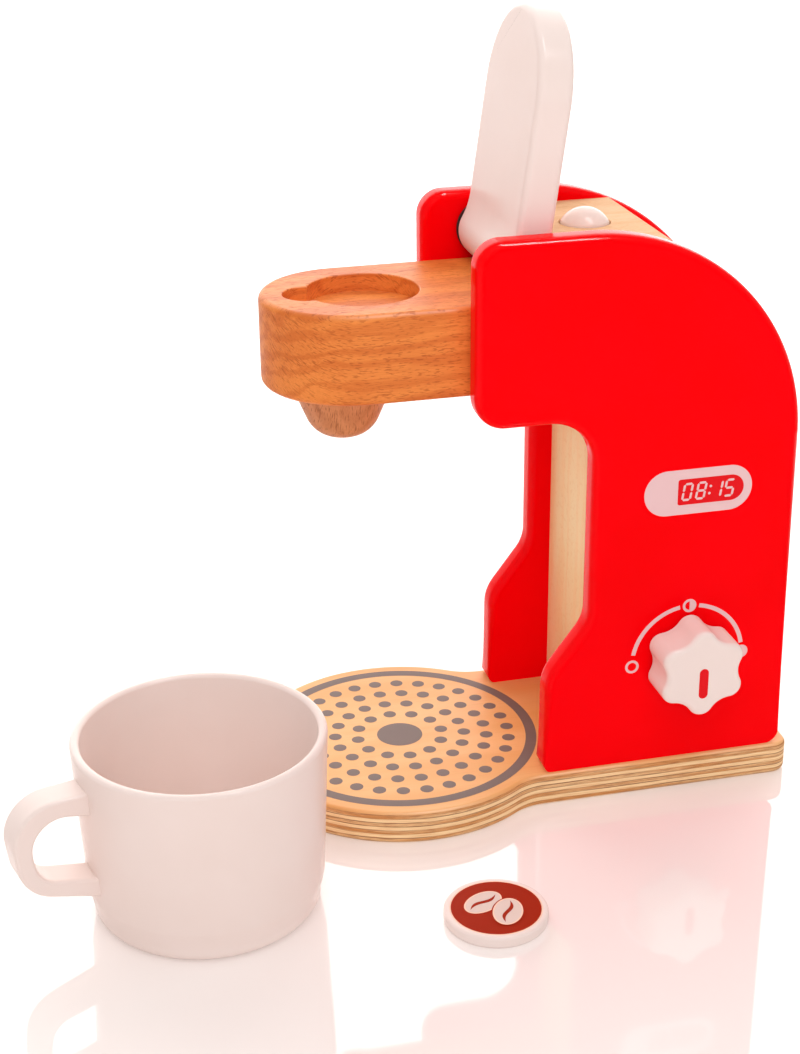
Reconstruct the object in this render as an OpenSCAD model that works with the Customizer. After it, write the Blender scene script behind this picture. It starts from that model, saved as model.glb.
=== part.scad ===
// Toy coffee maker in wood: a plywood base with a round drip plate, two lacquered
// side panels, a beech arm with a pod recess and a turned nozzle, a lever that
// folds down over the arm, a sprung dome button, a turning knob, a cup and a pod.
//
// Millimetres, +Z up. The origin lies on the floor under the centre of the round
// drip plate; the arm and the plate point to -Y and the knob is on the +X side.

/* [Base board] */
// Thickness of the plywood base
base_t = 12; // [9:0.5:18]
// Radius of the round drip plate
plate_r = 55; // [50:1:62]
// How far the base stands out past each side panel
base_lip = 2; // [1:0.5:5]
// How far the base stands out behind the side panels
base_tail = 4.5; // [2:0.5:10]
// Radius of the two rear corners of the base
base_corner_r = 6.5; // [2:0.5:12]
// Radius of the hollow curve between the drip plate and the sides
waist_r = 20; // [12:1:30]

/* [Side panels] */
// Thickness of a side panel
panel_t = 10; // [8:0.5:14]
// Space between the two side panels
gap_w = 60; // [54:1:66]
// Height of the side panels above the base
panel_h = 192.6; // [188:0.2:204]
// Place of the rear edge of the panels, behind the plate's centre
panel_back = 131; // [126:0.1:140]
// Place of the front edge of the foot
foot_y = 42.8; // [40:0.1:50]
// Place of the front edge of the neck, above the foot
neck_y = 57.8; // [54:0.1:62]
// Place of the front edge of the head
head_y = 17; // [10:0.1:26]
// Height from the base to the underside of the head
head_clear = 130; // [120:0.5:133]
// Height above the base at which the foot starts to slope back
foot_h = 36.5; // [26:0.5:44]
// Height above the base at which the slope meets the neck
neck_h = 56.5; // [50:0.5:70]
// Radius of the big curve down the back
back_r = 75; // [60:1:78]
// Radius of the head's upper front corner
head_top_r = 9; // [5:0.5:14]
// Radius of the head's lower front corner
head_low_r = 10.5; // [5:0.5:16]
// Radius of the hollow corner under the head
throat_r = 15; // [8:0.5:20]
// Radius where the foot turns into the slope
foot_bend_r = 16; // [8:0.5:20]
// Radius where the slope turns into the neck
neck_bend_r = 14; // [8:0.5:20]
// Radius of the foot's lower front corner
foot_corner_r = 2.5; // [2:0.5:8]
// Radius of the lower rear corner
heel_corner_r = 5; // [2:0.5:10]

/* [Column and back] */
// Place of the column's front face
column_y = 66; // [64:0.1:72]
// Thickness of the column board
column_t = 12; // [9:0.5:16]
// Thickness of the back board
back_t = 6; // [4:0.5:7]
// How far the back board lies inside the panels' rear curve
back_inset = 0.8; // [0:0.1:3]

/* [Arm] */
// Height of the arm block
arm_h = 30.5; // [27:0.5:35]
// How far the arm's underside lies above the head's underside
arm_raise = 9; // [5:0.5:12]
// Place of the centre of the arm's round front end
arm_round_y = -15.5; // [-22:0.1:-12]
// Radius of the pod recess
recess_r = 19; // [18:0.25:21]
// Depth of the pod recess
recess_depth = 6; // [5:0.25:9]
// Place of the centre of the pod recess
recess_y = -11; // [-13:0.5:-6]
// Radius of the finger notch in front of the recess
notch_r = 8.25; // [6:0.25:10]
// Place of the centre of the finger notch
notch_y = -29.5; // [-31:0.5:-27]
// Radius of the arm's long edges, above and below
arm_edge_r = 2; // [1:0.25:3]

/* [Nozzle] */
// Place of the nozzle's axis
nozzle_y = -18.5; // [-24:0.5:-12]
// Height of the nozzle under the arm
nozzle_h = 19.5; // [14:0.5:22]
// Radius of the nozzle where it meets the arm
nozzle_top_r = 17.8; // [15:0.1:19]
// Radius of the nozzle at its lower end, before its edge is rounded
nozzle_end_r = 9.6; // [8.6:0.1:13]
// Radius of the nozzle's rounded lower edge
nozzle_round = 10.5; // [4:0.5:11]
// Radius of the tenon that holds the nozzle in the arm
tenon_r = 6; // [4:0.5:8]
// Length of the tenon
tenon_len = 10; // [6:0.5:14]

/* [Top block] */
// How far the block's top lies below the top of the panels
block_drop = 5.8; // [3:0.1:8]

/* [Lever] */
// Place of the lever's pivot
pivot_y = 39.2; // [36:0.2:44]
// Thickness of the lever
lever_t = 12; // [9:0.5:13]
// Length of the lever from its pivot to its tip
lever_len = 79.5; // [60:0.5:82]
// How far the upright lever leans back
lever_lean = 8; // [4:1:12]
// Radius of the round heel about the pivot
heel_r = 9.8; // [9:0.1:11]
// How far the lever's front face lies before the pivot
lever_front = 7.4; // [6:0.1:8.5]
// Radius of the hollow between the lever's front face and its heel
lever_blend_r = 24; // [8:1:30]
// How far round the heel, from straight ahead, that hollow's lower end lies
lever_blend_deg = 20; // [14:1:21]
// Radius of the axle dowel
axle_r = 4; // [3:0.25:5]
// How deep the axle sits in each panel
axle_seat = 6; // [4:0.5:7]
// Thickness of a friction washer
washer_t = 1; // [0.5:0.1:1.2]

/* [Button] */
// Place of the button's axis
button_y = 65.8; // [64:0.1:68]
// Radius of the dome button
button_r = 8.3; // [7:0.1:9]
// Height of the dome above the block
dome_h = 5; // [4.5:0.1:7]
// Travel of the button
button_travel = 4; // [2:0.25:4]
// Thickness of the block above the button's flange
button_cover = 6; // [5:0.25:7]
// Thickness of the button's flange
flange_t = 2.4; // [1.5:0.1:3]
// How far the flange stands out past the dome
flange_lip = 1.8; // [1:0.1:2.5]
// Gap round the button in its hole
button_gap = 0.4; // [0.3:0.05:0.6]
// Radius of the spring wire
wire_r = 0.4; // [0.3:0.05:0.5]
// Turns of the button spring
spring_turns = 3.5; // [2.5:0.5:4]

/* [Knob] */
// Gap between the knob's retaining washer and the back board
knob_room = 1.7; // [0.4:0.1:4]
// Height of the knob's axis above the base
knob_h = 40; // [30:0.5:46]
// Outer radius of the knob
knob_r = 16; // [13:0.5:20]
// Thickness of the knob
knob_t = 15.5; // [12:0.5:20]
// Number of lobes round the knob
lobes = 6; // [5:1:8]
// Radius of one lobe
lobe_r = 4.6; // [4:0.1:5]
// Radius of the hollow between two lobes
scoop_r = 8; // [6:0.5:10]
// Gap between the knob and the panel
knob_gap = 0.5; // [0.3:0.1:1]
// Radius of the knob's dowel shaft
shaft_r = 5; // [4:0.25:6]
// How deep the shaft sits in the knob
shaft_seat = 9; // [6:0.5:11]
// Radius of the retaining washer
retainer_r = 7.5; // [7:0.25:7.75]
// Thickness of the retaining washer
retainer_t = 1.5; // [1:0.1:2]

/* [Fasteners] */
// Radius of the dowels that join arm and column to the panels
dowel_r = 4; // [3:0.25:4.5]
// How deep a dowel sits in a panel
dowel_seat = 6; // [4:0.5:7]
// How deep a dowel sits in the arm or the column
dowel_reach = 12; // [8:0.5:16]
// How far the arm's front dowel lies behind the head's front edge
arm_dowel_inset = 12.2; // [10:0.1:16]
// How far the arm's rear dowel lies before the arm's rear end
arm_dowel_back = 17; // [15:0.5:20]
// Height of the column's lower dowel above the base
column_dowel_low = 45; // [35:1:60]
// Height of the column's upper dowel above the base
column_dowel_high = 100; // [85:1:115]
// How far a panel's screws lie from its lower corners
screw_inset = 18; // [12:1:24]
// Radius of a wood screw's shank
screw_r = 1.75; // [1.25:0.05:2]
// Radius of a base screw's head
screw_head_r = 4; // [3.5:0.1:4.5]
// How deep a base screw goes into the wood above the base
screw_bite = 16; // [10:1:22]

/* [Cup] */
// Place of the cup's axis, left to right
cup_x = 68.1; // [66:0.1:80]
// Place of the cup's axis, front to back
cup_y = -81.5; // [-95:0.1:-80]
// Height of the cup
cup_h = 62.2; // [50:0.2:75]
// Outer radius of the rim
cup_rim_r = 40.7; // [38:0.1:42]
// Outer radius at the shoulder low on the wall
cup_shoulder_r = 38.5; // [37.5:0.1:39.6]
// Outer radius under the shoulder
cup_waist_r = 37.1; // [36.2:0.1:38]
// Outer radius at the foot
cup_foot_r = 36.7; // [35:0.1:37.4]
// Height of the shoulder
cup_shoulder_h = 11.5; // [11.5:0.5:14]
// Height of the slope under the shoulder
cup_step_h = 6.5; // [5:0.5:6.5]
// Thickness of the wall at the rim
cup_wall = 3; // [2.6:0.1:4]
// Thickness of the cup's floor
cup_floor = 5; // [4:0.5:8]
// Radius of the cup's lower edge
cup_foot_round = 4; // [2:0.5:4.5]
// Radius of the two soft bends at the shoulder
cup_bend_r = 10; // [6:1:12]
// Radius between the wall and the floor inside the cup
cup_bowl_r = 10; // [4:0.5:16]
// Direction in which the handle points
handle_deg = -75; // [-100:1:-60]
// How far the handle's upper outer corner, before it is rounded, stands out from the rim
handle_reach = 25.6; // [21:0.1:28]
// How much less far its lower outer corner stands out
handle_lean = 3.9; // [0:0.1:6]
// Width of the handle
handle_w = 11.4; // [8:0.1:14]
// Thickness of the handle's bar
handle_t = 5.5; // [4.5:0.1:6]
// Height of the handle's upper edge
handle_top = 54; // [51:0.5:57]
// Height of the handle's lower outer corner, before it is rounded
handle_low = 23.5; // [20:0.5:26]
// How much lower the lower bar meets the cup
handle_droop = 10; // [6:0.5:10.5]
// How much thicker the lower bar is at its root
handle_swell = 1.7; // [0:0.1:3]
// Thickness of the upper bar at its root
handle_root_t = 8.6; // [6:0.1:10]
// Thickness of the upper bar at the opening's upper corner, before that is rounded
handle_crown_t = 2.8; // [2.4:0.1:4.4]
// Radius of the handle's upper outer corner
handle_top_r = 14; // [10:0.5:16]
// Radius of the handle's lower outer corner
handle_low_r = 14; // [10:0.5:16]
// Radius of the opening's upper corner
handle_eye_top_r = 10; // [7:0.5:11]
// Radius of the opening's lower corner
handle_eye_low_r = 8; // [5:0.5:10]

/* [Pod] */
// Place of the pod's centre, left to right
pod_x = 103.5; // [100:0.5:120]
// Place of the pod's centre, front to back
pod_y = 6.3; // [0:0.1:20]
// Radius of the pod
pod_r = 16.9; // [14:0.1:17.5]
// Thickness of the pod
pod_t = 4; // [3:0.1:4.8]
// Radius of the pod's rounded edges
pod_edge_r = 1; // [0.3:0.1:1.4]

/* [Hidden] */
$fn = 96;

// Clearances
run_gap = 0.08;     // radial gap of a turning dowel in its hole
seat_gap = 0.05;    // radial gap of a glued dowel or a screw in its hole
side_gap = 0.25;    // gap between a washer and the panel beside it
heel_gap = 0.3;     // gap between the lever's heel and the arm
block_gap = 1;      // gap between the lever's heel and the top block
end_gap = 0.3;      // end play of the knob's shaft in its panel
eps = 0.01;         // how far a cutting tool passes the face it opens
web_reach = 0.5;    // how far the web that rounds a corner passes that corner

// Widths
panel_in = gap_w / 2;
panel_out = panel_in + panel_t;
base_half = panel_out + base_lip;
base_back = panel_back + base_tail;

// Heights
head_under = base_t + head_clear;
panel_top = base_t + panel_h;
arm_under = head_under + arm_raise;
arm_top = arm_under + arm_h;
arm_mid = arm_under + arm_h / 2;
block_top = panel_top - block_drop;
pivot_z = arm_top + heel_r + heel_gap;
knob_z = base_t + knob_h;

// Depths
arm_round_r = panel_in;
arm_back = column_y + column_t;
block_front = pivot_y + heel_r + block_gap;

// Rear curve of the side panels, which the block's slope and the back board follow
function rear_curve_y(z) =
    panel_back - back_r + sqrt(pow(back_r, 2) - pow(z - (panel_top - back_r), 2));
slope_y = rear_curve_y(block_top);
block_tail = rear_curve_y(arm_top) - back_inset;
back_front = block_tail - back_t;
knob_y = back_front - knob_room - retainer_r;

// Centre of the hollow curve between drip plate and side. The curve dips a hair's
// breadth into the plate, so that the two arcs cross at one clean point
waist_dip = 0.02;
waist_c = [base_half + waist_r,
           sqrt(pow(plate_r + waist_r - waist_dip, 2) - pow(base_half + waist_r, 2))];

// Lever
lever_half = panel_in - side_gap - washer_t;
lever_w = 2 * lever_half;
axle_len = gap_w + 2 * axle_seat;

// Button: heights of the flange in its chamber
flange_top = block_top - button_cover;
flange_low = flange_top - flange_t;
flange_r = button_r + flange_lip;
spring_h = flange_low - arm_top;
spring_r = button_r - 1.6;

// Knob: centre distances of the lobes and of the hollows that touch them
lobe_d = knob_r - lobe_r;
half_step = 180 / lobes;
scoop_d = lobe_d * cos(half_step)
        + sqrt(pow(lobe_r + scoop_r, 2) - pow(lobe_d * sin(half_step), 2));
knob_in = panel_out + knob_gap;
retainer_x = panel_in - end_gap;

// Dowels: [y, z] on the inner face of a panel
column_mid = column_y + column_t / 2;
dowel_places = [[head_y + arm_dowel_inset, arm_mid], [arm_back - arm_dowel_back, arm_mid],
                [column_mid, base_t + column_dowel_low], [column_mid, base_t + column_dowel_high]];

// Screws from under the base: [x, y, length of wood above the base]
screw_head_h = screw_head_r - screw_r;
screw_sink = 0.4;
screw_places = [for (x = [-1, 1]) each [
    [x * (panel_in + panel_t / 2), foot_y + screw_inset],
    [x * (panel_in + panel_t / 2), panel_back - screw_inset],
    [x * panel_in / 2, column_mid]
]];

panel_red = [0.90, 0.03, 0.06];
lacquer_white = [0.93, 0.88, 0.85];
beech = [0.80, 0.55, 0.34];
pale_wood = [0.93, 0.78, 0.58];
plywood = [0.87, 0.68, 0.45];
steel = [0.70, 0.70, 0.72];

// ---- Shared shapes ----

// Point at distance d from corner b towards point a
function toward(b, a, d) = b + (a - b) * d / norm(a - b);

// Half the angle at corner b between its neighbours a and c
function half_angle(a, b, c) =
    acos(max(-1, min(1, (a - b) * (c - b) / norm(a - b) / norm(c - b)))) / 2;

// Positive where the outline a, b, c turns left
function turn(a, b, c) = (b.x - a.x) * (c.y - b.y) - (b.y - a.y) * (c.x - b.x);

// Area between corner b and the arc of radius r that rounds it, with the corner
// itself drawn past b so that the area cuts or joins cleanly
module corner_web(a, b, c, r) {
    half = half_angle(a, b, c);
    t1 = toward(b, a, r / tan(half));
    t2 = toward(b, c, r / tan(half));
    centre = toward(b, (t1 + t2) / 2, r / sin(half));
    difference() {
        polygon([toward(b, centre, -web_reach), t1, centre, t2]);
        translate(centre) circle(r);
    }
}

// Closed outline from corners [x, y, radius], counterclockwise, with true arcs
module rounded_outline(corners) {
    n = len(corners);
    at = [for (c = corners) [c.x, c.y]];
    radius = [for (c = corners) len(c) > 2 ? c[2] : 0];
    left = [for (i = [0:n - 1]) turn(at[(i + n - 1) % n], at[i], at[(i + 1) % n]) > 0];
    difference() {
        union() {
            polygon(at);
            for (i = [0:n - 1]) if (radius[i] > 0 && !left[i])
                corner_web(at[(i + n - 1) % n], at[i], at[(i + 1) % n], radius[i]);
        }
        for (i = [0:n - 1]) if (radius[i] > 0 && left[i])
            corner_web(at[(i + n - 1) % n], at[i], at[(i + 1) % n], radius[i]);
    }
}

// Outline in (y, z) made a board of thickness t that starts at x
module board_along_x(x, t) {
    translate([x, 0, 0]) rotate([90, 0, 90]) linear_extrude(t) children();
}

// Round bar of radius r along X from x, at [y, z]
module bar_along_x(x, len, r, yz) {
    translate([x, yz.x, yz.y]) rotate([0, 90, 0]) cylinder(h = len, r = r);
}

// Countersunk screw that stands on its head at z = 0
module wood_screw(len, grow = 0) {
    cylinder(h = screw_head_h, r1 = screw_head_r + grow, r2 = screw_r + grow);
    cylinder(h = len, r = screw_r + grow);
}

// ---- Base ----

module base_outline() {
    circle(plate_r);
    rounded_outline([[-base_half, 0], [base_half, 0],
                     [base_half, base_back, base_corner_r],
                     [-base_half, base_back, base_corner_r]]);
    for (side = [0, 1]) mirror([side, 0]) difference() {
        polygon([[0, 0], waist_c, [base_half, waist_c.y]]);
        translate(waist_c) circle(waist_r);
    }
}

module base_board() {
    color(plywood) difference() {
        linear_extrude(base_t) base_outline();
        for (p = screw_places) translate([p.x, p.y, 0]) {
            translate([0, 0, -eps]) cylinder(h = screw_sink + 2 * eps, r = screw_head_r + seat_gap);
            translate([0, 0, screw_sink]) wood_screw(base_t, seat_gap);
        }
    }
}

module base_screws() {
    color(steel) for (p = screw_places)
        translate([p.x, p.y, screw_sink]) wood_screw(base_t - screw_sink + screw_bite);
}

// Holes that the base screws need in the wood above the base
module screw_pilots() {
    for (p = screw_places) translate([p.x, p.y, base_t - eps])
        cylinder(h = screw_bite + eps + seat_gap, r = screw_r + seat_gap);
}

// ---- Side panels ----

panel_corners = [
    [foot_y, base_t, foot_corner_r],
    [panel_back, base_t, heel_corner_r],
    [panel_back, panel_top, back_r],
    [head_y, panel_top, head_top_r],
    [head_y, head_under, head_low_r],
    [neck_y, head_under, throat_r],
    [neck_y, base_t + neck_h, neck_bend_r],
    [foot_y, base_t + foot_h, foot_bend_r]
];

// Panel on the +X side with the holes that both panels share
module panel_blank() {
    difference() {
        board_along_x(panel_in, panel_t) rounded_outline(panel_corners);
        bar_along_x(panel_in - eps, axle_seat + side_gap + eps, axle_r + run_gap, [pivot_y, pivot_z]);
        for (p = dowel_places)
            bar_along_x(panel_in - eps, dowel_seat + seat_gap + eps, dowel_r + seat_gap, p);
        screw_pilots();
    }
}

module side_panel_right() {
    color(panel_red) difference() {
        panel_blank();
        bar_along_x(panel_in - eps, panel_t + 2 * eps, shaft_r + run_gap, [knob_y, knob_z]);
    }
}

module side_panel_left() {
    color(panel_red) mirror([1, 0, 0]) panel_blank();
}

// ---- Boards between the panels ----

module column_board() {
    color(pale_wood) difference() {
        translate([-panel_in, column_y, base_t]) cube([gap_w, column_t, arm_under - base_t]);
        dowel_sockets();
        screw_pilots();
    }
}

module back_board() {
    color(pale_wood)
        translate([-panel_in, back_front, base_t]) cube([gap_w, back_t, arm_top - base_t]);
}

// Dowels on both sides; grow widens and lengthens them into sockets
module dowels(grow = 0) {
    for (side = [0, 1]) mirror([side, 0, 0]) for (p = dowel_places)
        bar_along_x(panel_in - dowel_reach - grow, dowel_reach + dowel_seat + grow, dowel_r + grow, p);
}

module dowel_sockets() {
    dowels(seat_gap);
}

module panel_dowels() {
    color(beech) dowels();
}

// ---- Arm and nozzle ----

// Area outside the rounded edge of a block whose corner lies at [0, 0] and whose
// sides run to -X and -Y
module edge_section(r) {
    difference() {
        translate([-r, -r]) square(r + 1);
        translate([-r, -r]) circle(r);
    }
}

// What rounds the arm's top edge, about the centre of its round front end
module arm_edge() {
    rotate([0, 0, 180]) rotate_extrude(angle = 180)
        translate([arm_round_r, 0]) edge_section(arm_edge_r);
    for (side = [0, 1]) mirror([side, 0, 0]) translate([arm_round_r, arm_back - arm_round_y + eps, 0])
        rotate([90, 0, 0]) linear_extrude(arm_back - arm_round_y + eps) edge_section(arm_edge_r);
}

module arm_block() {
    color(beech) difference() {
        translate([0, 0, arm_under]) {
            linear_extrude(arm_h) union() {
                translate([0, arm_round_y]) circle(arm_round_r);
                translate([-panel_in, arm_round_y]) square([gap_w, arm_back - arm_round_y]);
            }
        }
        translate([0, arm_round_y, arm_top]) arm_edge();
        translate([0, arm_round_y, arm_under]) mirror([0, 0, 1]) arm_edge();
        translate([0, 0, arm_top - recess_depth]) linear_extrude(recess_depth + eps) union() {
            translate([0, recess_y]) circle(recess_r);
            translate([0, notch_y]) circle(notch_r);
        }
        translate([0, nozzle_y, arm_under - eps])
            cylinder(h = tenon_len + seat_gap + eps, r = tenon_r + seat_gap);
        dowel_sockets();
    }
}

module nozzle() {
    color(beech) translate([0, nozzle_y, arm_under]) rotate_extrude() rounded_outline([
        [0, -nozzle_h], [nozzle_end_r, -nozzle_h, nozzle_round], [nozzle_top_r, 0],
        [tenon_r, 0], [tenon_r, tenon_len], [0, tenon_len]
    ]);
}

// ---- Top block with the button's chamber ----

module top_block() {
    color(beech) difference() {
        board_along_x(-panel_in, gap_w) polygon([
            [block_front, arm_top], [block_tail, arm_top],
            [slope_y, block_top], [block_front, block_top]
        ]);
        translate([0, button_y, arm_top - eps]) {
            cylinder(h = block_top - arm_top + 2 * eps, r = button_r + button_gap);
            cylinder(h = flange_top - arm_top + eps, r = flange_r + button_gap);
        }
    }
}

module button() {
    dome_r = (button_r * button_r + dome_h * dome_h) / (2 * dome_h);
    color(lacquer_white) translate([0, button_y, 0]) {
        translate([0, 0, flange_low]) cylinder(h = flange_t, r = flange_r);
        translate([0, 0, flange_top - eps]) cylinder(h = block_top - flange_top + eps, r = button_r);
        translate([0, 0, block_top]) intersection() {
            translate([0, 0, dome_h - dome_r]) sphere(dome_r);
            cylinder(h = dome_h + eps, r = button_r);
        }
    }
}

// Helical wire: rings of points along the turns, joined into one closed skin
module button_spring() {
    sides = 6;
    steps = 16;
    rings = spring_turns * steps;
    rise = spring_h - 2 * wire_r;
    ring = function (i) let (a = 360 * i / steps) [
        for (k = [0:sides - 1]) let (b = 360 * k / sides, r = spring_r + wire_r * cos(b))
            [r * cos(a), r * sin(a), wire_r + rise * i / rings + wire_r * sin(b)]
    ];
    points = [for (i = [0:rings]) each ring(i)];
    skin = [for (i = [0:rings - 1], k = [0:sides - 1]) let (m = (k + 1) % sides)
        [i * sides + k, (i + 1) * sides + k, (i + 1) * sides + m, i * sides + m]];
    caps = [[for (k = [0:sides - 1]) k],
            [for (k = [0:sides - 1]) rings * sides + sides - 1 - k]];
    color(steel) translate([0, button_y, arm_top]) polyhedron(points, concat(skin, caps));
}

// ---- Lever ----

// Puts lever parts, drawn upright about the pivot, in their leaning place
module at_lever() {
    translate([0, pivot_y, pivot_z]) rotate([-lever_lean, 0, 0]) children();
}

// Side of the lever. Its front face leads into the heel along a line that cuts the
// heel at a slight angle, and the corner between face and line is hollowed
module lever_profile() {
    reach = heel_r * cos(5);
    foot = reach * [-cos(lever_blend_deg), sin(lever_blend_deg)];
    knee = [-lever_front, (reach - lever_front * cos(lever_blend_deg)) / sin(lever_blend_deg)];
    most = 0.85 * norm(knee - foot) / tan(lever_blend_deg / 2);
    circle(heel_r);
    rounded_outline([
        [lever_t - lever_front, 0], [lever_t - lever_front, lever_len], [-lever_front, lever_len],
        [knee.x, knee.y, min(lever_blend_r, most)], foot, [0, 0]
    ]);
}

module lever() {
    color(lacquer_white) at_lever() difference() {
        intersection() {
            board_along_x(-lever_half, lever_w) lever_profile();
            translate([0, heel_r, 0]) rotate([90, 0, 0]) linear_extrude(2 * heel_r) union() {
                translate([0, lever_len - lever_half]) circle(lever_half);
                translate([-lever_half, -heel_r]) square([lever_w, lever_len - lever_half + heel_r]);
            }
        }
        bar_along_x(-lever_half - eps, lever_w + 2 * eps, axle_r + seat_gap, [0, 0]);
    }
}

module lever_axle() {
    color(beech) at_lever() bar_along_x(-axle_len / 2, axle_len, axle_r, [0, 0]);
}

module lever_washers() {
    color([0.12, 0.11, 0.11]) at_lever() for (side = [0, 1]) mirror([side, 0, 0]) difference() {
        bar_along_x(panel_in - side_gap - washer_t, washer_t, heel_r, [0, 0]);
        bar_along_x(panel_in - side_gap - washer_t - eps, washer_t + 2 * eps, axle_r + seat_gap, [0, 0]);
    }
}

// ---- Knob ----

// Lobes joined by hollows that run smoothly into them
module knob_outline() {
    for (i = [0:lobes - 1]) rotate(2 * half_step * i) translate([lobe_d, 0]) circle(lobe_r);
    difference() {
        polygon([for (i = [0:lobes - 1]) each [
            lobe_d * [cos(2 * half_step * i), sin(2 * half_step * i)],
            scoop_d * [cos(2 * half_step * i + half_step), sin(2 * half_step * i + half_step)]
        ]]);
        for (i = [0:lobes - 1]) rotate(2 * half_step * i + half_step)
            translate([scoop_d, 0]) circle(scoop_r);
    }
}

module knob() {
    color(lacquer_white) difference() {
        board_along_x(knob_in, knob_t) translate([knob_y, knob_z]) rotate(90) knob_outline();
        bar_along_x(knob_in - eps, shaft_seat + seat_gap + eps, shaft_r + seat_gap, [knob_y, knob_z]);
    }
}

screw_len = 11;     // length of the retaining screw in the shaft
pan_r = 3.5;        // radius of its head
pan_h = 2;          // height of its head

module knob_shaft() {
    color(beech) difference() {
        bar_along_x(retainer_x, knob_in + shaft_seat - retainer_x, shaft_r, [knob_y, knob_z]);
        bar_along_x(retainer_x - eps, screw_len + seat_gap + eps, screw_r + seat_gap, [knob_y, knob_z]);
    }
}

module knob_retainer() {
    color(steel) difference() {
        bar_along_x(retainer_x - retainer_t, retainer_t, retainer_r, [knob_y, knob_z]);
        bar_along_x(retainer_x - retainer_t - eps, retainer_t + 2 * eps, screw_r + seat_gap, [knob_y, knob_z]);
    }
}

module knob_screw() {
    color(steel) {
        bar_along_x(retainer_x - retainer_t - pan_h, pan_h, pan_r, [knob_y, knob_z]);
        bar_along_x(retainer_x - retainer_t - eps, retainer_t + screw_len + eps, screw_r, [knob_y, knob_z]);
    }
}

// ---- Cup ----

cup_waist_h = cup_shoulder_h - cup_step_h;
cup_rim_round = cup_wall / 2 - 0.1;

// Outer wall of the cup in (radius, height)
cup_outside = [
    [0, 0], [cup_foot_r, 0, cup_foot_round], [cup_waist_r, cup_waist_h, cup_bend_r],
    [cup_shoulder_r, cup_shoulder_h, cup_bend_r], [cup_rim_r, cup_h, cup_rim_round]
];

module cup_body() {
    color(lacquer_white) translate([cup_x, cup_y, 0]) rotate_extrude() rounded_outline(concat(
        cup_outside,
        [[cup_rim_r - cup_wall, cup_h, cup_rim_round],
         [cup_waist_r - cup_wall, cup_floor, cup_bowl_r], [0, cup_floor]]
    ));
}

module cup_handle() {
    root = cup_foot_r - 2 * cup_wall;
    top_reach = cup_rim_r + handle_reach;
    low_reach = top_reach - handle_lean;
    eye_low = handle_low - handle_droop * handle_t / (low_reach - root) + handle_t;
    color(lacquer_white) translate([cup_x, cup_y, 0]) difference() {
        rotate([0, 0, handle_deg]) translate([0, handle_w / 2, 0]) rotate([90, 0, 0])
            linear_extrude(handle_w) difference() {
                rounded_outline([
                    [root, handle_low - handle_droop], [low_reach, handle_low, handle_low_r],
                    [top_reach, handle_top, handle_top_r], [root, handle_top]
                ]);
                rounded_outline([
                    [root - eps, handle_low - handle_droop + handle_t + handle_swell],
                    [low_reach - handle_t, eye_low, handle_eye_low_r],
                    [top_reach - handle_t, handle_top - handle_crown_t, handle_eye_top_r],
                    [root - eps, handle_top - handle_root_t]
                ]);
            }
        rotate_extrude() polygon([for (p = cup_outside) [p.x, p.y], [0, cup_h]]);
    }
}

// ---- Pod ----

module pod() {
    color(lacquer_white) translate([pod_x, pod_y, 0]) rotate_extrude() rounded_outline([
        [0, 0], [pod_r, 0, pod_edge_r], [pod_r, pod_t, pod_edge_r], [0, pod_t]
    ]);
}

base_board();
side_panel_left();
side_panel_right();
column_board();
back_board();
arm_block();
nozzle();
top_block();
panel_dowels();
base_screws();
lever();
lever_axle();
lever_washers();
button();
button_spring();
knob();
knob_shaft();
knob_retainer();
knob_screw();
cup_body();
cup_handle();
pod();
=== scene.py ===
"""A wooden toy coffee maker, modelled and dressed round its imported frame.

Sizes are in millimetres and become metres where they meet Blender. Places come
from the frame's own nodes wherever a node gives them.
"""

import logging
import math
from collections.abc import Callable, Iterator, Sequence
from contextlib import contextmanager
from dataclasses import dataclass
from enum import Enum

import bpy
from mathutils import Matrix, Vector


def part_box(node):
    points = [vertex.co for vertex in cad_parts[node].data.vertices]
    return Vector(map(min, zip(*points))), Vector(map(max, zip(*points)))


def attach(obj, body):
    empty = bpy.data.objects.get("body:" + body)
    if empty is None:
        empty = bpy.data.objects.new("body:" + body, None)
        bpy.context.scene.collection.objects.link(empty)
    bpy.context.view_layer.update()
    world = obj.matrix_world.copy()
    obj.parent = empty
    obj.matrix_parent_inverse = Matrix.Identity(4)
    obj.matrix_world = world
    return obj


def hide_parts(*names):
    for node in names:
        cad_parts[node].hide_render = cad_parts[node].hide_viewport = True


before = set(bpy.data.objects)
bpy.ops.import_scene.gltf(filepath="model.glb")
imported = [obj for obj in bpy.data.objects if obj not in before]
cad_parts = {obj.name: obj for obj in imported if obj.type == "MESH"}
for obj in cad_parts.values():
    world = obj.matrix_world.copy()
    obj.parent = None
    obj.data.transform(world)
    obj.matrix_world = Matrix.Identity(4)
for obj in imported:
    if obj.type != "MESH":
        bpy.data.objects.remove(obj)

LOG = logging.getLogger("coffee_maker")
MM = 0.001
TOUCH = 1e-6  # metres within which two points count as one
CLEAR = MM  # how far a tool starts or ends outside the wood
HAIR = 0.01  # millimetres that two meeting arcs leave between them
ARC_DENSITY = 3.2  # steps per radian in an arc with a radius of one millimetre
TURNED_SHARP, BOWL_SHARP = 50.0, 60.0  # degrees over which an edge of a turned piece or of the cup stays sharp
MIX_SHARE, MIX_UNDER, MIX_OVER, MIX_RESULT = 0, 6, 7, 2  # sockets of a colour's Mix node

Colour = tuple[float, float, float]
EdgeTest = Callable[[Vector, Vector], bool]


# ---------------------------------------------------------------- drawing


@dataclass(frozen=True)
class Corner:
    """A corner of an outline, in millimetres, rounded by an arc.

    Args:
        across: Place along the sheet's first direction.
        up: Place along the sheet's second direction.
        radius: Radius of the arc, or 0 for a sharp corner.
    """

    across: float
    up: float
    radius: float = 0.0

    @property
    def point(self) -> Vector:
        """The corner as a 2-D vector."""
        return Vector((self.across, self.up))


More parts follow.
